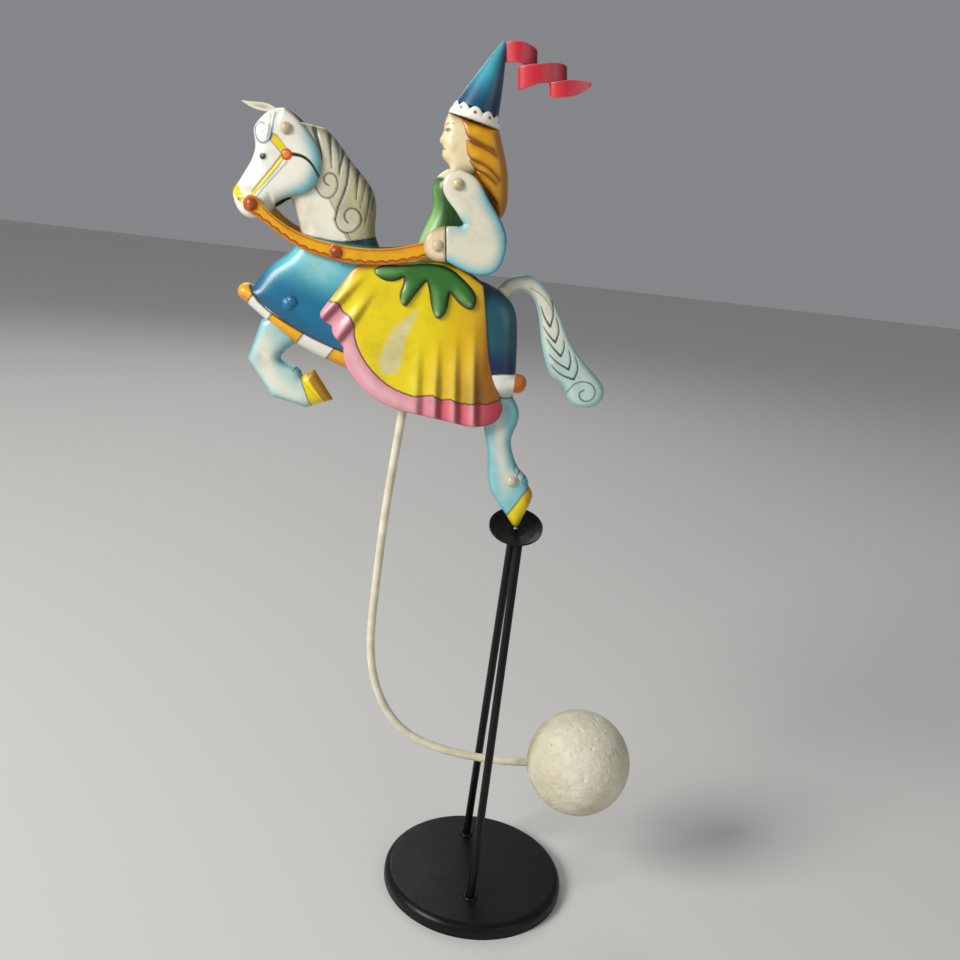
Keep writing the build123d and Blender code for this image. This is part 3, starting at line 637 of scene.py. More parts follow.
def head_paint(points, d):
    x, z = points.T
    colour = lay(WHITE, IVORY, ramp(x, -150, -132) * 0.7)
    rear = ramp(x + 0.6 * (412 - z) * (z < 412), -137, -124) * (z < 433)
    rear = rear * ramp(d, 7.5, 1.0)
    colour = lay(colour, SKY, rear * 0.95)
    colour = lay(colour, ink(190, 182, 150), ramp(z, 400, 390) * ramp(x, -154, -146) * 0.6)
    # Darker brown towards the outline: painted shade where the pressing turns under.
    colour = lay(colour, ink(150, 130, 90), ramp(d, 1.4, 0.2) * 0.55)
    for line, wide, end in (
        ([(-156.6, 429.5), (-154.5, 423.0), (-151.0, 421.8), (-147.5, 424.5)], 1.0, 1.0),
        ([(-147.5, 424.5), (-146.8, 430.0), (-146.2, 437.0)], 1.1, 0.7),
        ([(-156.8, 428.5), (-154.5, 431.5), (-151.3, 430.8), (-150.8, 428.0), (-152.2, 427.0)],
         0.8, 0.6),
        ([(-149.0, 425.0), (-148.3, 431.0), (-148.6, 436.0)], 0.7, 0.4),
    ):
        colour = lay(colour, ink(70, 146, 156), brush(points, line, wide, end) * 0.85)
    brow = [(-146.8, 427.3), (-144.0, 426.0), (-138.0, 419.5), (-141.5, 417.3), (-148.2, 423.6)]
    colour = lay(colour, LINE, patch(points, brow) * 0.75)
    tight = np.array(brow) * 0.82 + np.mean(brow, 0) * 0.18
    colour = lay(colour, YELLOW, patch(points, tight))
    cheek = [(-141.5, 416.0), (-145.0, 410.2), (-149.0, 405.0), (-152.6, 400.6), (-157.0, 395.5)]
    wave = 0.35 * np.sin(points[:, 1] * 1.25)
    moved = points + wave[:, None]
    colour = lay(colour, LINE, brush(moved, cheek, 2.7, 2.5) * 0.7)
    colour = lay(colour, YELLOW, brush(moved, cheek, 1.8, 1.6))
    colour = lay(colour, LINE, brush(points, [(-138.5, 414.0), (-153.8, 395.0)], 0.5,
                                     smooth=False) * 0.75)
    nose = [(-168.0, 397.0), (-165.5, 401.2), (-159.8, 394.6), (-162.3, 391.4)]
    colour = lay(colour, YELLOW, patch(points, nose))
    strap = [(-136.5, 417.9), (-131.0, 417.4), (-126.5, 414.6), (-122.6, 408.6)]
    colour = lay(colour, LINE, brush(points, strap, 1.9, 0.9))
    colour = lay(colour, RUST * 1.2, dot(points, CHEEK_BOSS, 2.9))
    colour = lay(colour, ink(240, 130, 50), dot(points, CHEEK_BOSS, 1.9))
    colour = lay(colour, ink(36, 40, 46), dot(points, (-151.0, 415.4), 1.75))
    # A small grey spot on the eye: painted glint.
    colour = lay(colour, ink(120, 128, 136), dot(points, (-151.4, 416.0), 0.55))
    nostril = dot(points, (-163.2, 393.2), 0.8) + dot(points, (-160.0, 388.6), 0.4)
    return lay(colour, ink(120, 86, 66), nostril * 0.7)


def front_leg_depth(points, d):
    y = domed(d, 6.0, LEG_HALF)
    y -= 0.4 * brush(points, [(-126.0, 304.0), (-113.0, 291.0)], 0.8, smooth=False)
    return y - 0.6 * brush(points, [(-137.0, 316.0), (-130.0, 310.0), (-126.0, 305.0)], 1.6)


def front_leg_paint(points, d):
    # A pale streak down the front of the leg: painted highlight.
    colour = lay(ink(176, 210, 206), IVORY,
                 highlight_streak(points, [(-139, 338), (-146, 314), (-137, 298), (-118, 293)], 4.6) * 0.9)
    colour = lay(colour, ink(84, 168, 184), ramp(d, 3.2, 0.3) * 0.8)
    colour = lay(colour, SKY, ramp(points[:, 1], 316, 332) * 0.5)
    for line in ([(-136.5, 312.5), (-132.5, 311.8), (-129.5, 308.8), (-131.0, 306.6)],
                 [(-131.0, 312.5), (-128.4, 309.6), (-127.2, 305.6)],
                 [(-137.8, 316.0), (-134.0, 314.6), (-131.0, 311.2)]):
        colour = lay(colour, TEAL_LINE, brush(points, line, 0.9, 0.4))
    hoof = [(-126.6, 304.2), (-119.8, 309.4), (-107.4, 293.0), (-119.4, 286.6)]
    # The rear strip of the hoof in a darker gold: painted shade on its edge wall.
    fill = lay(YELLOW, GOLD * 0.55,
               patch(points, [(-124.5, 306.5), (-119.5, 310), (-106, 293.5), (-112, 290.5)]))
    colour = lay(colour, fill, patch(points, hoof))
    return lay(colour, LINE, brush(points, [(-126.6, 304.2), (-118.6, 286.2)], 0.5, smooth=False))


CHEVRONS = [
    [(-1.5, 356.0), (1.2, 350.5), (4.6, 346.2)], [(3.8, 359.5), (5.4, 353.0), (4.6, 346.2)],
    [(1.2, 345.5), (4.6, 341.5), (8.4, 338.2)], [(7.4, 350.8), (9.4, 344.0), (8.4, 338.2)],
    [(3.6, 339.5), (7.8, 335.0), (12.2, 331.2)], [(13.0, 339.4), (13.4, 335.0), (12.2, 331.2)],
    [(6.2, 331.2), (11.0, 327.6), (17.4, 324.6)], [(16.2, 334.4), (17.8, 329.6), (17.4, 324.6)],
    [(8.2, 325.4), (13.4, 321.6), (20.8, 319.6)], [(20.2, 331.2), (22.2, 325.4), (20.8, 319.6)],
]


def tail_depth(points, d):
    y = domed(d, 5.0, 3.8)
    for line in CHEVRONS:
        y -= 0.3 * brush(points, line, 1.4, 0.8)
    return y


def tail_paint(points, d):
    x, z = points.T
    colour = lay(ink(222, 220, 200), ink(142, 196, 202), ramp(z, 352, 322) * 0.55)
    colour = lay(colour, ink(120, 184, 194), ramp(d, 2.8, 0.3) * 0.7)
    colour = lay(colour, ink(140, 122, 84), ramp(x, -6, -16) * ramp(z, 368, 360) * 0.6)
    for line in CHEVRONS:
        colour = lay(colour, DARK_TEAL, brush(points, line, 0.5, 1.1))
    end = [(18.2, 312.0), (21.4, 317.0), (26.8, 319.0), (31.6, 317.2), (33.2, 312.6),
           (30.4, 308.8), (26.2, 309.2), (24.8, 312.6), (27.0, 314.4)]
    colour = lay(colour, TEAL_LINE, brush(points, end, 0.6, 0.8))
    root = [(-8, 364.8), (-1, 361.5), (5, 354)]
    return lay(colour, TEAL_LINE, brush(points, root, 0.6, 0.3) * 0.7)


# The rider

PINK_LINE = [(-112.5, 346.9), (-109.5, 347.5), (-106.5, 346.0), (-104.5, 342.0), (-99.5, 339.5),
             (-98.2, 333.0), (-94.5, 322.5), (-89.5, 315.5), (-83.5, 310.0), (-76.0, 305.2),
             (-67.5, 302.5), (-60.5, 302.0), (-53.0, 303.6), (-49.0, 301.5), (-43.0, 302.8),
             (-38.5, 300.6), (-35.0, 300.5), (-31.5, 302.6), (-28.0, 301.4), (-23.0, 302.4),
             (-15.0, 306.5)]
PINK_EDGE = PINK_LINE + [(-10.0, 306.0), (-10.0, 284.0), (-122.0, 284.0), (-122.0, 346.9)]
FOLDS = [
    ([(-54.0, 338.0), (-51.2, 288.0)], 2.0, 4.0), ([(-44.8, 342.0), (-40.4, 286.0)], 2.3, 4.0),
    ([(-36.2, 350.0), (-29.6, 284.0)], 2.6, 4.0), ([(-64.0, 336.0), (-61.5, 290.0)], 0.9, 4.0),
    ([(-92.5, 366.0), (-106.5, 348.8), (-117.0, 336.0)], 2.3, 3.9),
    ([(-87.5, 359.0), (-98.0, 341.0), (-108.0, 326.0)], 2.3, 3.9),
]


STEEP_FLANK = 0.4


def ridge(points, line, height, wide):
    """A pressed fold that grows along its line, with a long flank and a steep one."""
    path = np.array(line, float)
    d, at = line_distance(points, path)
    span = path[-1] - path[0]
    away = points - path[0]
    steep = (span[0] * away[:, 1] - span[1] * away[:, 0]) > 0
    flank = d / (wide * np.where(steep, STEEP_FLANK, 0.95))
    return height * ramp(at, 0.0, 0.7) * np.exp(-(flank**2))


def skirt_depth(points, d):
    y = SKIRT_IN + domed(d, 7.0, SKIRT_OUT - SKIRT_IN - 0.9)
    for line, height, wide in FOLDS:
        y += ridge(points, line, height, wide) * ramp(d, -0.8, 1.5)
    return np.clip(y, SKIRT_IN, SKIRT_OUT + 2.2) - 0.3 * brush(points, PINK_LINE, 0.9)


def skirt_paint(points, d):
    x, z = points.T
    # The yellow turns darker and browner towards the right: painted shade.
    colour = lay(YELLOW, ink(206, 150, 4), ramp(x, -66, -34) * 0.75)
    colour = lay(colour, ink(130, 70, 6), ramp(x - 0.16 * (z - 330), -37, -25) * 0.85)
    colour = lay(colour, ink(238, 150, 50), ramp(d, 5, 0.5) * ramp(x - z, -455, -462) * 0.8)
    # Each fold gets a pale streak on its left flank and a dark one on its right: painted highlight
    # and painted shade.
    for line, _, wide in FOLDS:
        fold_highlight = ridge(points, np.array(line) - [0.6, 0], 1.0, wide * 0.7)
        colour = lay(colour, ink(250, 228, 90), fold_highlight * 0.5)
        fold_shade = ridge(points, np.array(line) + [2.6, 0], 1.0, wide * 0.6)
        colour = lay(colour, ink(150, 84, 4), fold_shade * 0.5)
    # A pale patch on the skirt: painted highlight.
    shine = [(-65.5, 348.0), (-71.0, 331.5), (-72.5, 317.5), (-75.5, 312.5), (-81.0, 312.5),
             (-84.0, 317.0), (-82.0, 325.5), (-77.5, 336.5)]
    colour = lay(colour, ink(226, 214, 166), patch(points, shine, 2.0) * 0.85)
    # A pale streak along the lower left of the pink hem: painted highlight.
    pink = lay(PINK, ink(236, 184, 190),
               highlight_streak(points, [(-103, 330), (-97, 318), (-86, 305), (-62, 295.5)], 2.7) * 0.95)
    # The pink turns rose, then crimson towards the right: painted shade.
    pink = lay(pink, ROSE, ramp(x, -62, -48) * 0.75)
    pink = lay(pink, CRIMSON, ramp(x, -32, -20) * 0.7)
    # Pale and crimson streaks on each fold's flanks: painted highlight and painted shade.
    for line, _, wide in FOLDS:
        pink = lay(pink, ink(240, 176, 184), ridge(points, line, 1.0, wide * 0.6) * 0.75)
        pink = lay(pink, CRIMSON, ridge(points, np.array(line) + [2.8, 0], 1.0, wide * 0.8) * 0.7)
    colour = lay(colour, pink, patch(points, PINK_EDGE))
    colour = lay(colour, LINE, brush(points, PINK_LINE, 0.75, 0.85) * 0.92)
    # A thin darker rim at the outline: painted shade where the pressing turns under.
    return lay(colour, ink(120, 60, 40), ramp(d, 0.7, 0.1) * 0.4)


# Lines along which each leaf carries a painted highlight.
LEAF_HIGHLIGHT_LINES = ([(-66, 369), (-78, 366), (-88, 364.6)], [(-68, 367), (-71.5, 358), (-73.4, 351)],
             [(-58, 368), (-55.5, 356), (-54.6, 347)], [(-50, 366), (-44.5, 358.5), (-38, 353.6)])


def leaf_depth(points, d):
    puff = (LEAF_OUT - SKIRT_OUT + 0.9) + 1.3 * ramp(points[:, 1], 363, 355)
    return SKIRT_OUT - 1.0 + domed(d, 4.0, 1.0) * puff


def leaf_paint(points, d):
    # Darker towards the outline: painted shade round each puffed leaf.
    colour = lay(LEAF, LEAF_DARK, ramp(d, 2.6, 0.6) * 0.85)
    # Along each line a soft pale streak and a pale spot at its tip: painted highlight.
    for line in LEAF_HIGHLIGHT_LINES:
        line = np.array(line) - [1.0, 0]
        far, at = line_distance(points, line)
        colour = lay(colour, LEAF_HIGHLIGHT, np.exp(-((far / 1.7) ** 2)) * ramp(at, 0.1, 0.9) * 0.8)
        colour = lay(colour, ink(206, 222, 190), dot(points, line[-1], 0.6, 1.4) * 0.6)
    # Darker towards the right: painted shade.
    colour = lay(colour, LEAF_DARK, ramp(points[:, 0] - 0.5 * points[:, 1], -222, -212) * 0.6)
    return lay(colour, LINE, ramp(d, 0.9, 0.3) * 0.9)


def torso_depth(points, d):
    return domed(d, 9.0, 9.6)


def torso_paint(points, d):
    x, z = points.T
    # Lighter towards the left, dark green towards the right and darker at the outline: painted
    # highlight and painted shade.
    colour = lay(ink(30, 78, 30), ink(118, 178, 92), ramp(x + 0.25 * z, 44, 36))
    colour = lay(colour, ink(176, 210, 152), ramp(x + 0.25 * z, 39, 33) * 0.6)
    colour = lay(colour, LEAF_DARK, ramp(d, 1.5, 0.2) * 0.6)
    for line in ([(-60, 414), (-57, 400), (-60, 384)], [(-55, 412), (-52, 398), (-54, 380)]):
        colour = lay(colour, LEAF_DARK, brush(points, line, 0.7, 0.4) * 0.7)
    return lay(colour, SKIN * 0.95, ramp(z, 414.5, 416.0) * ramp(x, -48, -52))


def face_depth(points, d):
    y = domed(d, 7.0, 7.8)
    y -= 0.6 * dot(points, (-59.5, 437.6), 1.6, 1.0)
    return y + 0.4 * dot(points, (-57.5, 430.5), 2.6, 1.6)


def face_paint(points, d):
    # Darker towards the outline: painted shade.
    colour = lay(SKIN, ink(196, 160, 110), ramp(d, 1.8, 0.2) * 0.4)
    colour = lay(colour, ink(232, 160, 120), dot(points, (-57.2, 430.0), 2.0, 1.8) * 0.25)
    colour = lay(colour, ink(70, 44, 30), brush(points, [(-60.6, 441.0), (-58.6, 441.9),
                                                         (-56.4, 441.2)], 0.5, 0.3))
    colour = lay(colour, ink(46, 38, 36), brush(points, [(-60.9, 438.3), (-59.2, 438.9),
                                                         (-57.6, 438.1)], 0.7, 0.4))
    colour = lay(colour, ink(40, 60, 70), dot(points, (-59.4, 437.9), 0.6, 0.2))
    return lay(colour, ink(186, 52, 48), brush(points, [(-61.9, 429.4), (-59.6, 429.0)], 0.9, 0.4,
                                               smooth=False))


LOCKS = [[(-54.0, 442.4), (-51.1, 437.2), (-46.8, 435.2), (-42.0, 433.4), (-34.8, 431.0)],
         [(-51.1, 436.2), (-46.6, 433.8), (-40.6, 431.7), (-33.4, 428.6)],
         [(-51.4, 431.0), (-48.0, 426.4), (-41.7, 424.2), (-35.6, 421.4), (-30.5, 417.0)],
         [(-50.0, 426.6), (-45.3, 421.5), (-38.5, 419.0), (-32.0, 415.0)],
         [(-45.3, 421.5), (-40.8, 416.1), (-36.3, 411.0), (-31.2, 405.6)]]


def hair_depth(points, d):
    y = domed(d, 6.0, 9.4)
    for line in LOCKS:
        y -= 0.6 * brush(points, line, 1.3, 0.8)
    return y


def hair_paint(points, d):
    # Darker towards the outline: painted shade.
    colour = lay(BLONDE, ink(160, 84, 6), ramp(d, 4.5, 0.4) * 0.7)
    # Soft pale spots: painted highlights.
    for spot in ((-45.5, 440.0), (-44.5, 428.5), (-39.5, 421.8)):
        colour = lay(colour, ink(240, 192, 50), dot(points, spot, 1.6, 2.6) * 0.6)
    # Along each lock a soft brown band: painted shade in its pressed groove; the thin dark line is
    # print.
    for line in LOCKS:
        far, _ = line_distance(points, curve(line, 24))
        colour = lay(colour, BROWN, np.exp(-((far / 1.3) ** 2)) * 0.75)
        colour = lay(colour, ink(62, 26, 4), brush(points, line, 0.6, 0.0) * 0.85)
    return colour


CUFF = [(-55.2, 392.2), (-54.2, 383.0), (-53.2, 373.2)]


def arm_depth(points, d):
    y = ARM_IN + 0.2 + domed(d, 6.5, ARM_OUT - ARM_IN - 0.3)
    return y - 0.5 * brush(points, CUFF, 1.2) - 0.4 * brush(
        points, [(-46.8, 393.8), (-38, 393.2)], 1.4, 0.3, smooth=False)


def arm_paint(points, d):
    x, z = points.T
    rear = ramp(x - 0.5 * (z - 400), -51, -40)
    colour = lay(ink(226, 222, 198), ink(126, 196, 206), ramp(d, 6.5, 0.4) * rear)
    colour = lay(colour, ink(60, 148, 166), ramp(d, 1.6, 0.2) * 0.7 * rear)
    # A thin brownish rim at the front outline: painted shade.
    colour = lay(colour, ink(160, 150, 118), ramp(d, 1.0, 0.1) * 0.4 * (1 - rear))
    hand = x < np.interp(z, [373.2, 383.0, 392.2], [-53.2, -54.2, -55.2])
    # The hand darker towards its outline: painted shade.
    colour = lay(colour, lay(SKIN, ink(160, 112, 70), ramp(d, 3, 0.3) * 0.6),
                 (hand & (z < 393)) * 1.0)
    return lay(colour, LINE, brush(points, CUFF, 0.8))


def rein_depth_at(low):
    def depth(points, d):
        return low + SHEET + domed(d, 1.6, 0.35)
    return depth


def rein_paint_for(top, bottom, centre):
    """Gold strap with a line along the top and a scalloped one above the lower edge."""
    def paint(points, d):
        colour = lay(GOLD, ink(228, 138, 12), ramp(d, 4, 0.5) * 0.6)
        colour = lay(colour, ink(150, 64, 8), brush(points, np.array(top) - [0, 1.1], 0.45))
        path = curve(bottom, 80)
        low, at = line_distance(points, path)
        run = at * np.linalg.norm(np.diff(path, axis=0), axis=1).sum()
        scallop = 1.1 + 0.8 * np.abs(np.sin(run * math.pi / 5.6))
        colour = lay(colour, ORANGE * 0.8, ramp(scallop - low, -0.2, 0.3) * 0.85)
        colour = lay(colour, ink(96, 40, 6), ramp(0.3 - abs(low - scallop), -0.2, 0.2))
        return lay(colour, RUST, dot(points, centre, 4.2, 1.4) * 0.75)
    return paint


def ear_depth(points, d):
    return 4.4 - 0.5 * ramp(d, 0.2, 2.2)


def ear_paint(points, d):
    return lay(IVORY * 0.9, ink(120, 100, 76), ramp(d, 0.7, 1.8) * 0.7)


PRESSED = [
    ("horse", HORSE, 0.62, horse_depth, horse_paint, False, "horse_shell", "horse", "horse_print"),
    ("head", HEAD, 0.42, head_depth, head_paint, True, "head", "head", "coat_print"),
    ("front_leg", FRONT_LEG, 0.55, front_leg_depth, front_leg_paint, False, "front_leg",
     "front_legs", "coat_print"),
    ("tail", TAIL, 0.5, tail_depth, tail_paint, False, "tail", "horse", "tail_print"),
    ("skirt", SKIRT, 0.55, skirt_depth, skirt_paint, True, "skirt", "horse", "skirt_print"),
    ("leaves", LEAVES, 0.45, leaf_depth, leaf_paint, True, "leaf_peplum", "horse", "leaf_print"),
    ("torso", TORSO, 0.6, torso_depth, torso_paint, False, "torso", "horse", "bodice_print"),
    ("face", RIDER_HEAD, 0.38, face_depth, face_paint, False, "rider_head", "horse", "skin_print"),
    ("hair", HAIR, 0.42, hair_depth, hair_paint, False, "hair", "horse", "hair_print"),
    ("arm", ARM, 0.45, arm_depth, arm_paint, True, "arm", "arms", "sleeve_print"),
]

for name, runs, step, depth, paint, is_open, node, body, slot in PRESSED:
    tin = printed_tin(f"print_{name}")
    dress(pressed(name, runs, step, depth, paint, is_open), node, body, tin, slot)

for name, runs, low, body, at in (
        ("front_rein", FRONT_REIN, FRONT_REIN_IN, "front_reins", MOUTH_AXLE),
        ("rear_rein", REAR_REIN, REAR_REIN_IN, "rear_reins", REIN_RIVET)):
    strap = rein_paint_for(runs[0], runs[2], at)
    dress(pressed(name, runs, 0.4, rein_depth_at(low), strap, True),
          "rein_" + name.split("_")[0], body, printed_tin("print_" + name, grime=0.5), "rein_print")

ears = pressed("ear", EAR, 0.4, ear_depth, ear_paint, True)
ear_tin = printed_tin("print_ear")
for piece in ears:
    wear(piece, "ears", "head", ear_tin, "coat_print")


# Hat, crown and ribbon


def grid_piece(name, rings, colours, closed=True):
    """A skin over rows of points, (rows, columns, 3) in millimetres, with a colour each."""
    rows, columns = rings.shape[:2]
    wrap = columns if closed else columns - 1
    faces = [(r * columns + c, r * columns + (c + 1) % columns,
              (r + 1) * columns + (c + 1) % columns, (r + 1) * columns + c)
             for r in range(rows - 1) for c in range(wrap)]
    return painted(name, rings.reshape(-1, 3), faces, colours.reshape(-1, 3))


def slanted_rings(low, high, low_depth, high_depth, rows, columns=96, swell=0.0):
    """Ellipses from one slanted line to another, and each point's height and turn, 0 to 1."""
    up = np.linspace(0, 1, rows)[:, None]
    turn = np.linspace(0, 2 * math.pi, columns, endpoint=False)[None, :]
    ends = np.array([low, high], float)
    middle = ends.mean(1)
    reach = (ends[:, 1] - ends[:, 0]) / 2
    centre = middle[0] + up[..., None] * (middle[1] - middle[0])
    half = reach[0] + up[..., None] * (reach[1] - reach[0])
    fat = 1 + swell * np.sin(math.pi * up)
    deep = (low_depth + up * (high_depth - low_depth)) * fat
    flat = centre + half * (np.cos(turn) * fat)[..., None]
    return np.stack([flat[..., 0], -deep * np.sin(turn), flat[..., 1]], axis=-1), up, turn


CROWN_LOW, CROWN_TOP = ((-60.6, 447.0), (-33.6, 441.2)), ((-57.0, 452.6), (-35.0, 447.2))
HAT_TIP = ((-37.2, 483.3), (-34.4, 482.7))

cone, up, turn = slanted_rings(CROWN_TOP, HAT_TIP, 9.2, 1.2, 60, swell=0.05)
front = 0.5 - 0.5 * np.cos(turn)
flat_up = np.broadcast_to(up, cone.shape[:2]).ravel()
flat_front = np.broadcast_to(front, cone.shape[:2]).ravel()
# The teal darkens towards the bottom of the cone and towards the right: painted shade.
felt_with_painted_shade = lay(ink(60, 158, 178), ink(14, 78, 118), ramp(flat_up, 0.55, 0.05))
felt_with_painted_shade = lay(felt_with_painted_shade, ink(10, 46, 70), ramp(flat_front, 0.62, 0.15) * 0.85)
hat = grid_piece("hat_cone_tin", cone, felt_with_painted_shade)
LOBES = 10
band, up, turn = slanted_rings(CROWN_LOW, CROWN_TOP, 10.2, 9.3, 26, 240)
scallop = np.abs(np.sin(turn * LOBES / 2))
band[..., 2] += up * (2.2 * scallop - 1.4)
outward = band - band.mean(axis=1, keepdims=True)
outward /= np.linalg.norm(outward, axis=-1, keepdims=True)
band += outward * (0.5 * np.sin(math.pi * up))[..., None]
level, spot = (np.broadcast_to(v, band.shape[:2]).ravel() for v in (up, turn))
gap = np.hypot(np.angle(-np.exp(1j * spot * LOBES)) / LOBES * 12.0, (level - 0.55) * 6.0)
cloth = lay(WHITE, ink(176, 160, 130), ramp(level, 0.25, 0.0) * 0.6)
cloth = lay(cloth, ink(170, 40, 30), ramp(0.75 - gap, -0.2, 0.2))
cloth = lay(cloth, LINE, ramp(level, 0.94, 0.99) * 0.8)
crown = grid_piece("hat_crown_tin", band, cloth)

RIBBON_TOP = [(-36.0, 0.0, 483.0), (-29.5, -2.0, 483.9), (-22.9, 0.6, 483.0), (-19.6, 4.0, 480.7),
              (-22.4, 3.4, 475.6), (-27.3, -0.6, 472.6), (-21.1, -3.4, 473.8), (-14.8, -2.6, 474.9),
              (-8.5, 0.6, 476.2), (-4.0, 4.0, 475.2), (-7.0, 3.2, 470.5), (-10.8, -0.8, 466.8),
              (-5.0, -3.0, 467.8), (1.0, -2.0, 468.8), (9.2, 1.0, 469.0)]
RIBBON_LOW = [(-34.0, 0.0, 473.6), (-27.5, -2.0, 473.8), (-22.6, 0.6, 473.6), (-19.0, 4.0, 474.0),
              (-21.8, 3.4, 466.4), (-26.2, -0.6, 461.3), (-19.8, -3.4, 463.7), (-13.6, -2.6, 465.9),
              (-7.5, 0.6, 466.9), (-3.0, 4.0, 468.8), (-6.6, 3.2, 463.2), (-9.8, -0.8, 459.8),
              (-4.4, -3.0, 459.9), (1.8, -2.0, 461.6), (9.6, 1.0, 467.0)]

top_edge, low_edge = curve(RIBBON_TOP, 220), curve(RIBBON_LOW, 220)
across = np.linspace(0, 1, 14)[:, None, None]
cloth_rows = top_edge + across * (low_edge - top_edge)
edge = np.minimum(across[..., 0], 1 - across[..., 0]) * np.ones(len(top_edge))
shade = (cloth_rows[..., 1].ravel() + 4) / 8
silk = lay(ink(204, 44, 60), ink(60, 12, 22), ramp(shade, 0.6, 0.95) * 0.8)
# A pale band across the middle of each turn: painted sheen.
silk = lay(silk, ink(226, 110, 124), np.exp(-(((shade - 0.5) / 0.1) ** 2)) * 0.35)
# Paler along both edges: painted highlight.
silk = lay(silk, ink(238, 140, 140), ramp(edge.ravel(), 0.06, 0.0) * 0.35)
ribbon = grid_piece("hat_ribbon_tin", cloth_rows, silk, closed=False)
thick = ribbon.modifiers.new("sheet", "SOLIDIFY")
thick.thickness = RIBBON_SHEET * MM
for piece, node, slot, rough in ((hat, "hat_cone", "hat_print", 0.38),
                                 (crown, "hat_crown", "crown_print", 0.45),
                                 (ribbon, "hat_ribbon", "ribbon_print", 0.35)):
    wear(piece, node, "horse", printed_tin("print_" + node, rough=rough), slot)


# The cast ball


def cast_ball(node):
    """A rough casting under thick paint: a sphere with lumps, a parting line and pits."""
    low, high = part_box(node)
    centre, radius = (low + high) / 2, (high.z - low.z) / 2
    mesh = bpy.data.meshes.new("cast_ball")
    obj = bpy.data.objects.new("cast_ball", mesh)
    bpy.context.collection.objects.link(obj)
    bm = bmesh.new()
    bmesh.ops.create_icosphere(bm, subdivisions=7, radius=1.0)
    co = np.array([v.co for v in bm.verts])
    rng = np.random.default_rng(7)
    relief = np.zeros(len(co))
    for reach, depth, count in ((0.12, 0.013, 40), (0.05, 0.016, 120), (0.022, 0.020, 320)):
        spots = rng.normal(size=(count, 3))
        spots /= np.linalg.norm(spots, axis=1)[:, None]
        spots[: count // 3, 2] -= 0.6
        spots /= np.linalg.norm(spots, axis=1)[:, None]
        for s, size in zip(spots, rng.uniform(0.5, 1.2, count)):
            away = np.linalg.norm(co - s, axis=1) / (reach * size)
            relief -= depth * size * np.exp(-away**2 * 2)
    seam = np.exp(-((co[:, 0] * 0.5 + co[:, 2] * 0.86) / 0.012) ** 2)
    relief += 0.004 * seam
    for v, r in zip(bm.verts, relief):
        v.co = centre + v.co * (radius * (1 + float(r)))
    bm.to_mesh(mesh)
    bm.free()
    mesh.shade_smooth()
    return obj


ball = cast_ball("counterweight_ball")
n = Nodes("ball_enamel")
cloud = n.noise(26, 8, 0.68)
cream = n.mix(n.ramped(cloud, 0.42, 0.7), ink(232, 226, 204), ink(196, 184, 150))
grime = n.ramped(n.noise(200, 9, 0.75), 0.6, 0.7, 0.0, 0.8)
cream = n.mix(grime, cream, ink(110, 92, 60))
n.bumped(n.noise(260, 10, 0.72), 0.0012, 1.0)
wear(ball, "counterweight_ball", "horse",
     n.finish(cream, n.ramped(cloud, 0.3, 0.7, 0.42, 0.72)), "ball_paint")


# Finishes on the CAD pieces that show

BLACK, BLACK_2 = ink(9, 9, 10), ink(20, 19, 19)
BARE = {"metallic": 1.0, "coat": 0.0}
finishes = {
    enamel("stand_enamel", BLACK, BLACK_2, 0.4, 0.22, 45, ink(60, 54, 48), coat=0.06, shine=0.25):
        ("base_disc", "stand_leg_left", "stand_leg_right", "top_plate", "leg_weld_beads"),
    enamel("rod_enamel", ink(236, 230, 208), ink(204, 194, 164), 0.36, 0.2, 70, ink(130, 104, 66)):
        ("counterweight_rod",),
    enamel("point_steel", ink(150, 148, 144), ink(90, 86, 80), 0.3, 0.04, 300, **BARE):
        ("pivot_ball", "pivot_pin"),
    enamel("rivet_cream", ink(214, 200, 168), ink(176, 158, 120), 0.32, 0.1, 220, ink(110, 80, 50)):
        ("head_axle", "fetlock_rivets", "shoulder_axle", "hand_rivets"),
    enamel("rivet_blue", ink(40, 128, 164), ink(20, 84, 124), 0.32, 0.1, 220): ("front_leg_axle",),
    enamel("rivet_rust", ink(196, 92, 30), ink(110, 40, 12), 0.36, 0.15, 260):
        ("mouth_axle", "rein_rivets"),
    enamel("spacer_steel", ink(150, 146, 140), ink(104, 98, 90), 0.4, 0.05, 200, **BARE):
        ("front_leg_spacers", "shoulder_spacers", "rod_socket"),
}
for material, nodes in finishes.items():
    for node in nodes:
        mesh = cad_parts[node].data
        mesh.materials.clear()
        mesh.materials.append(material)


# Floor, light and camera


def plain(name, colour, rough):
    n = Nodes(name)
    tone = n.mix(n.ramped(n.noise(3, 3, 0.5), 0.3, 0.7), colour, colour * 0.96)
    return n.finish(tone, n.ramped(n.noise(8, 2, 0.5), 0, 1, rough, rough + 0.02))


FLOOR_M = 14


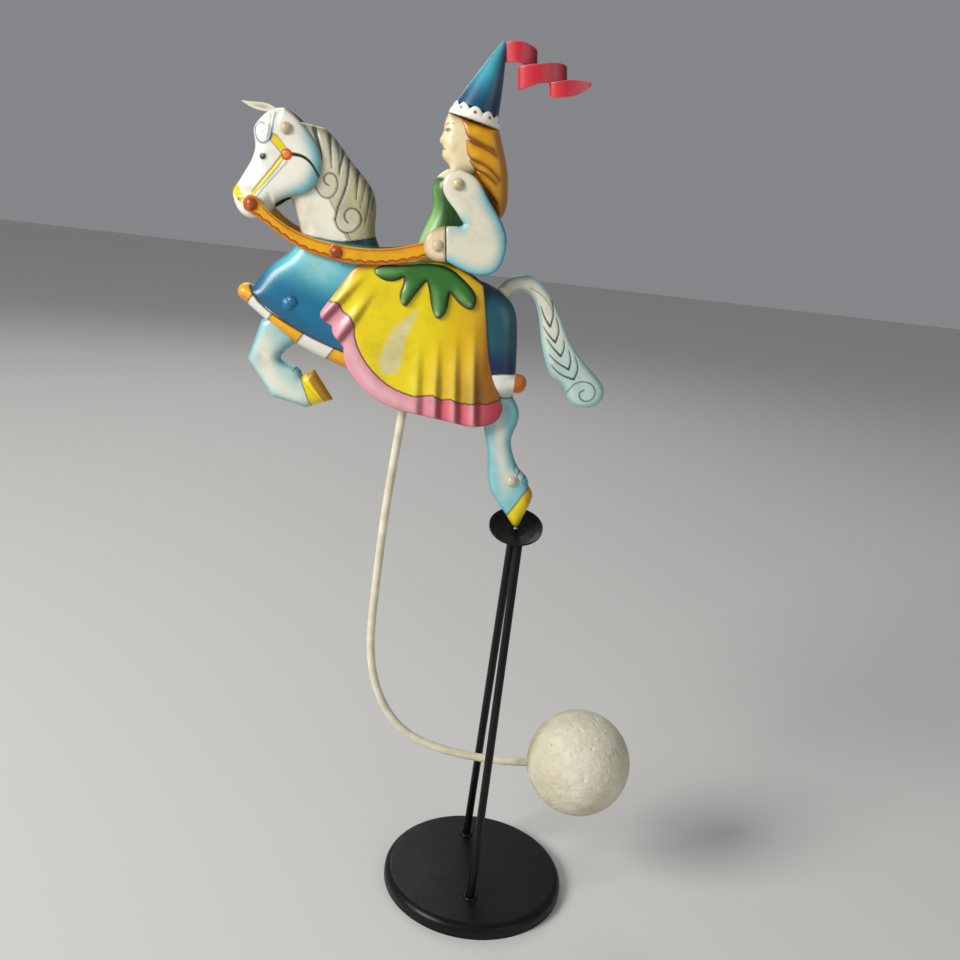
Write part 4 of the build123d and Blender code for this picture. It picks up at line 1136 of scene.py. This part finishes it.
def lay_floor():
    """A flat, pale floor that runs out to a horizon."""
    bpy.ops.mesh.primitive_plane_add(size=1, location=(0, 0, 0))
    floor = bpy.context.object
    floor.name = "floor"
    floor.scale = (FLOOR_M, FLOOR_M, 1)
    floor.data.materials.append(plain("floor_paper", ink(222, 220, 216), 0.75))


def soft_light(name, where, aim, size, power, tint=(1, 1, 1)):
    light = bpy.data.lights.new(name, "AREA")
    light.shape, light.size, light.energy, light.color = "DISK", size, power, tint
    obj = bpy.data.objects.new(name, light)
    obj.location = where
    obj.rotation_euler = (Vector(aim) - Vector(where)).to_track_quat("-Z", "Y").to_euler()
    bpy.context.collection.objects.link(obj)


lay_floor()
middle = (-0.02, 0, 0.25)
soft_light("key", (-1.45, -0.95, 1.15), middle, 0.8, 34, (1, 0.985, 0.95))
soft_light("fill", (1.6, -1.4, 0.9), middle, 1.4, 5, (0.95, 0.97, 1))
soft_light("back", (-0.6, 1.7, 1.5), middle, 1.2, 7)
world = bpy.data.worlds.new("room")
bpy.context.scene.world = world
world.use_nodes = True
sky = world.node_tree.nodes["Background"].inputs
sky["Color"].default_value, sky["Strength"].default_value = (0.78, 0.8, 0.84, 1), 0.3
bpy.context.scene.view_settings.view_transform = "Standard"

EYE_AT = (-0.0232, -0.5201, 0.3963)
PITCH, ROLL = math.radians(15.0), math.radians(6.56)
LENS, SENSOR = 36.1, 36.0
camera = bpy.data.cameras.new("camera")
camera.lens, camera.sensor_width = LENS, SENSOR
camera.clip_start, camera.clip_end = 0.01, 50
eye = bpy.data.objects.new("camera", camera)
ahead = Vector((0, math.cos(PITCH), -math.sin(PITCH)))
right, above = Vector((1, 0, 0)), Vector((0, math.sin(PITCH), math.cos(PITCH)))
across_view = right * math.cos(ROLL) + above * math.sin(ROLL)
up_view = above * math.cos(ROLL) - right * math.sin(ROLL)
turned = Matrix((across_view, up_view, -ahead)).transposed().to_4x4()
eye.matrix_world = Matrix.Translation(EYE_AT) @ turned
bpy.context.collection.objects.link(eye)
bpy.context.scene.camera = eye
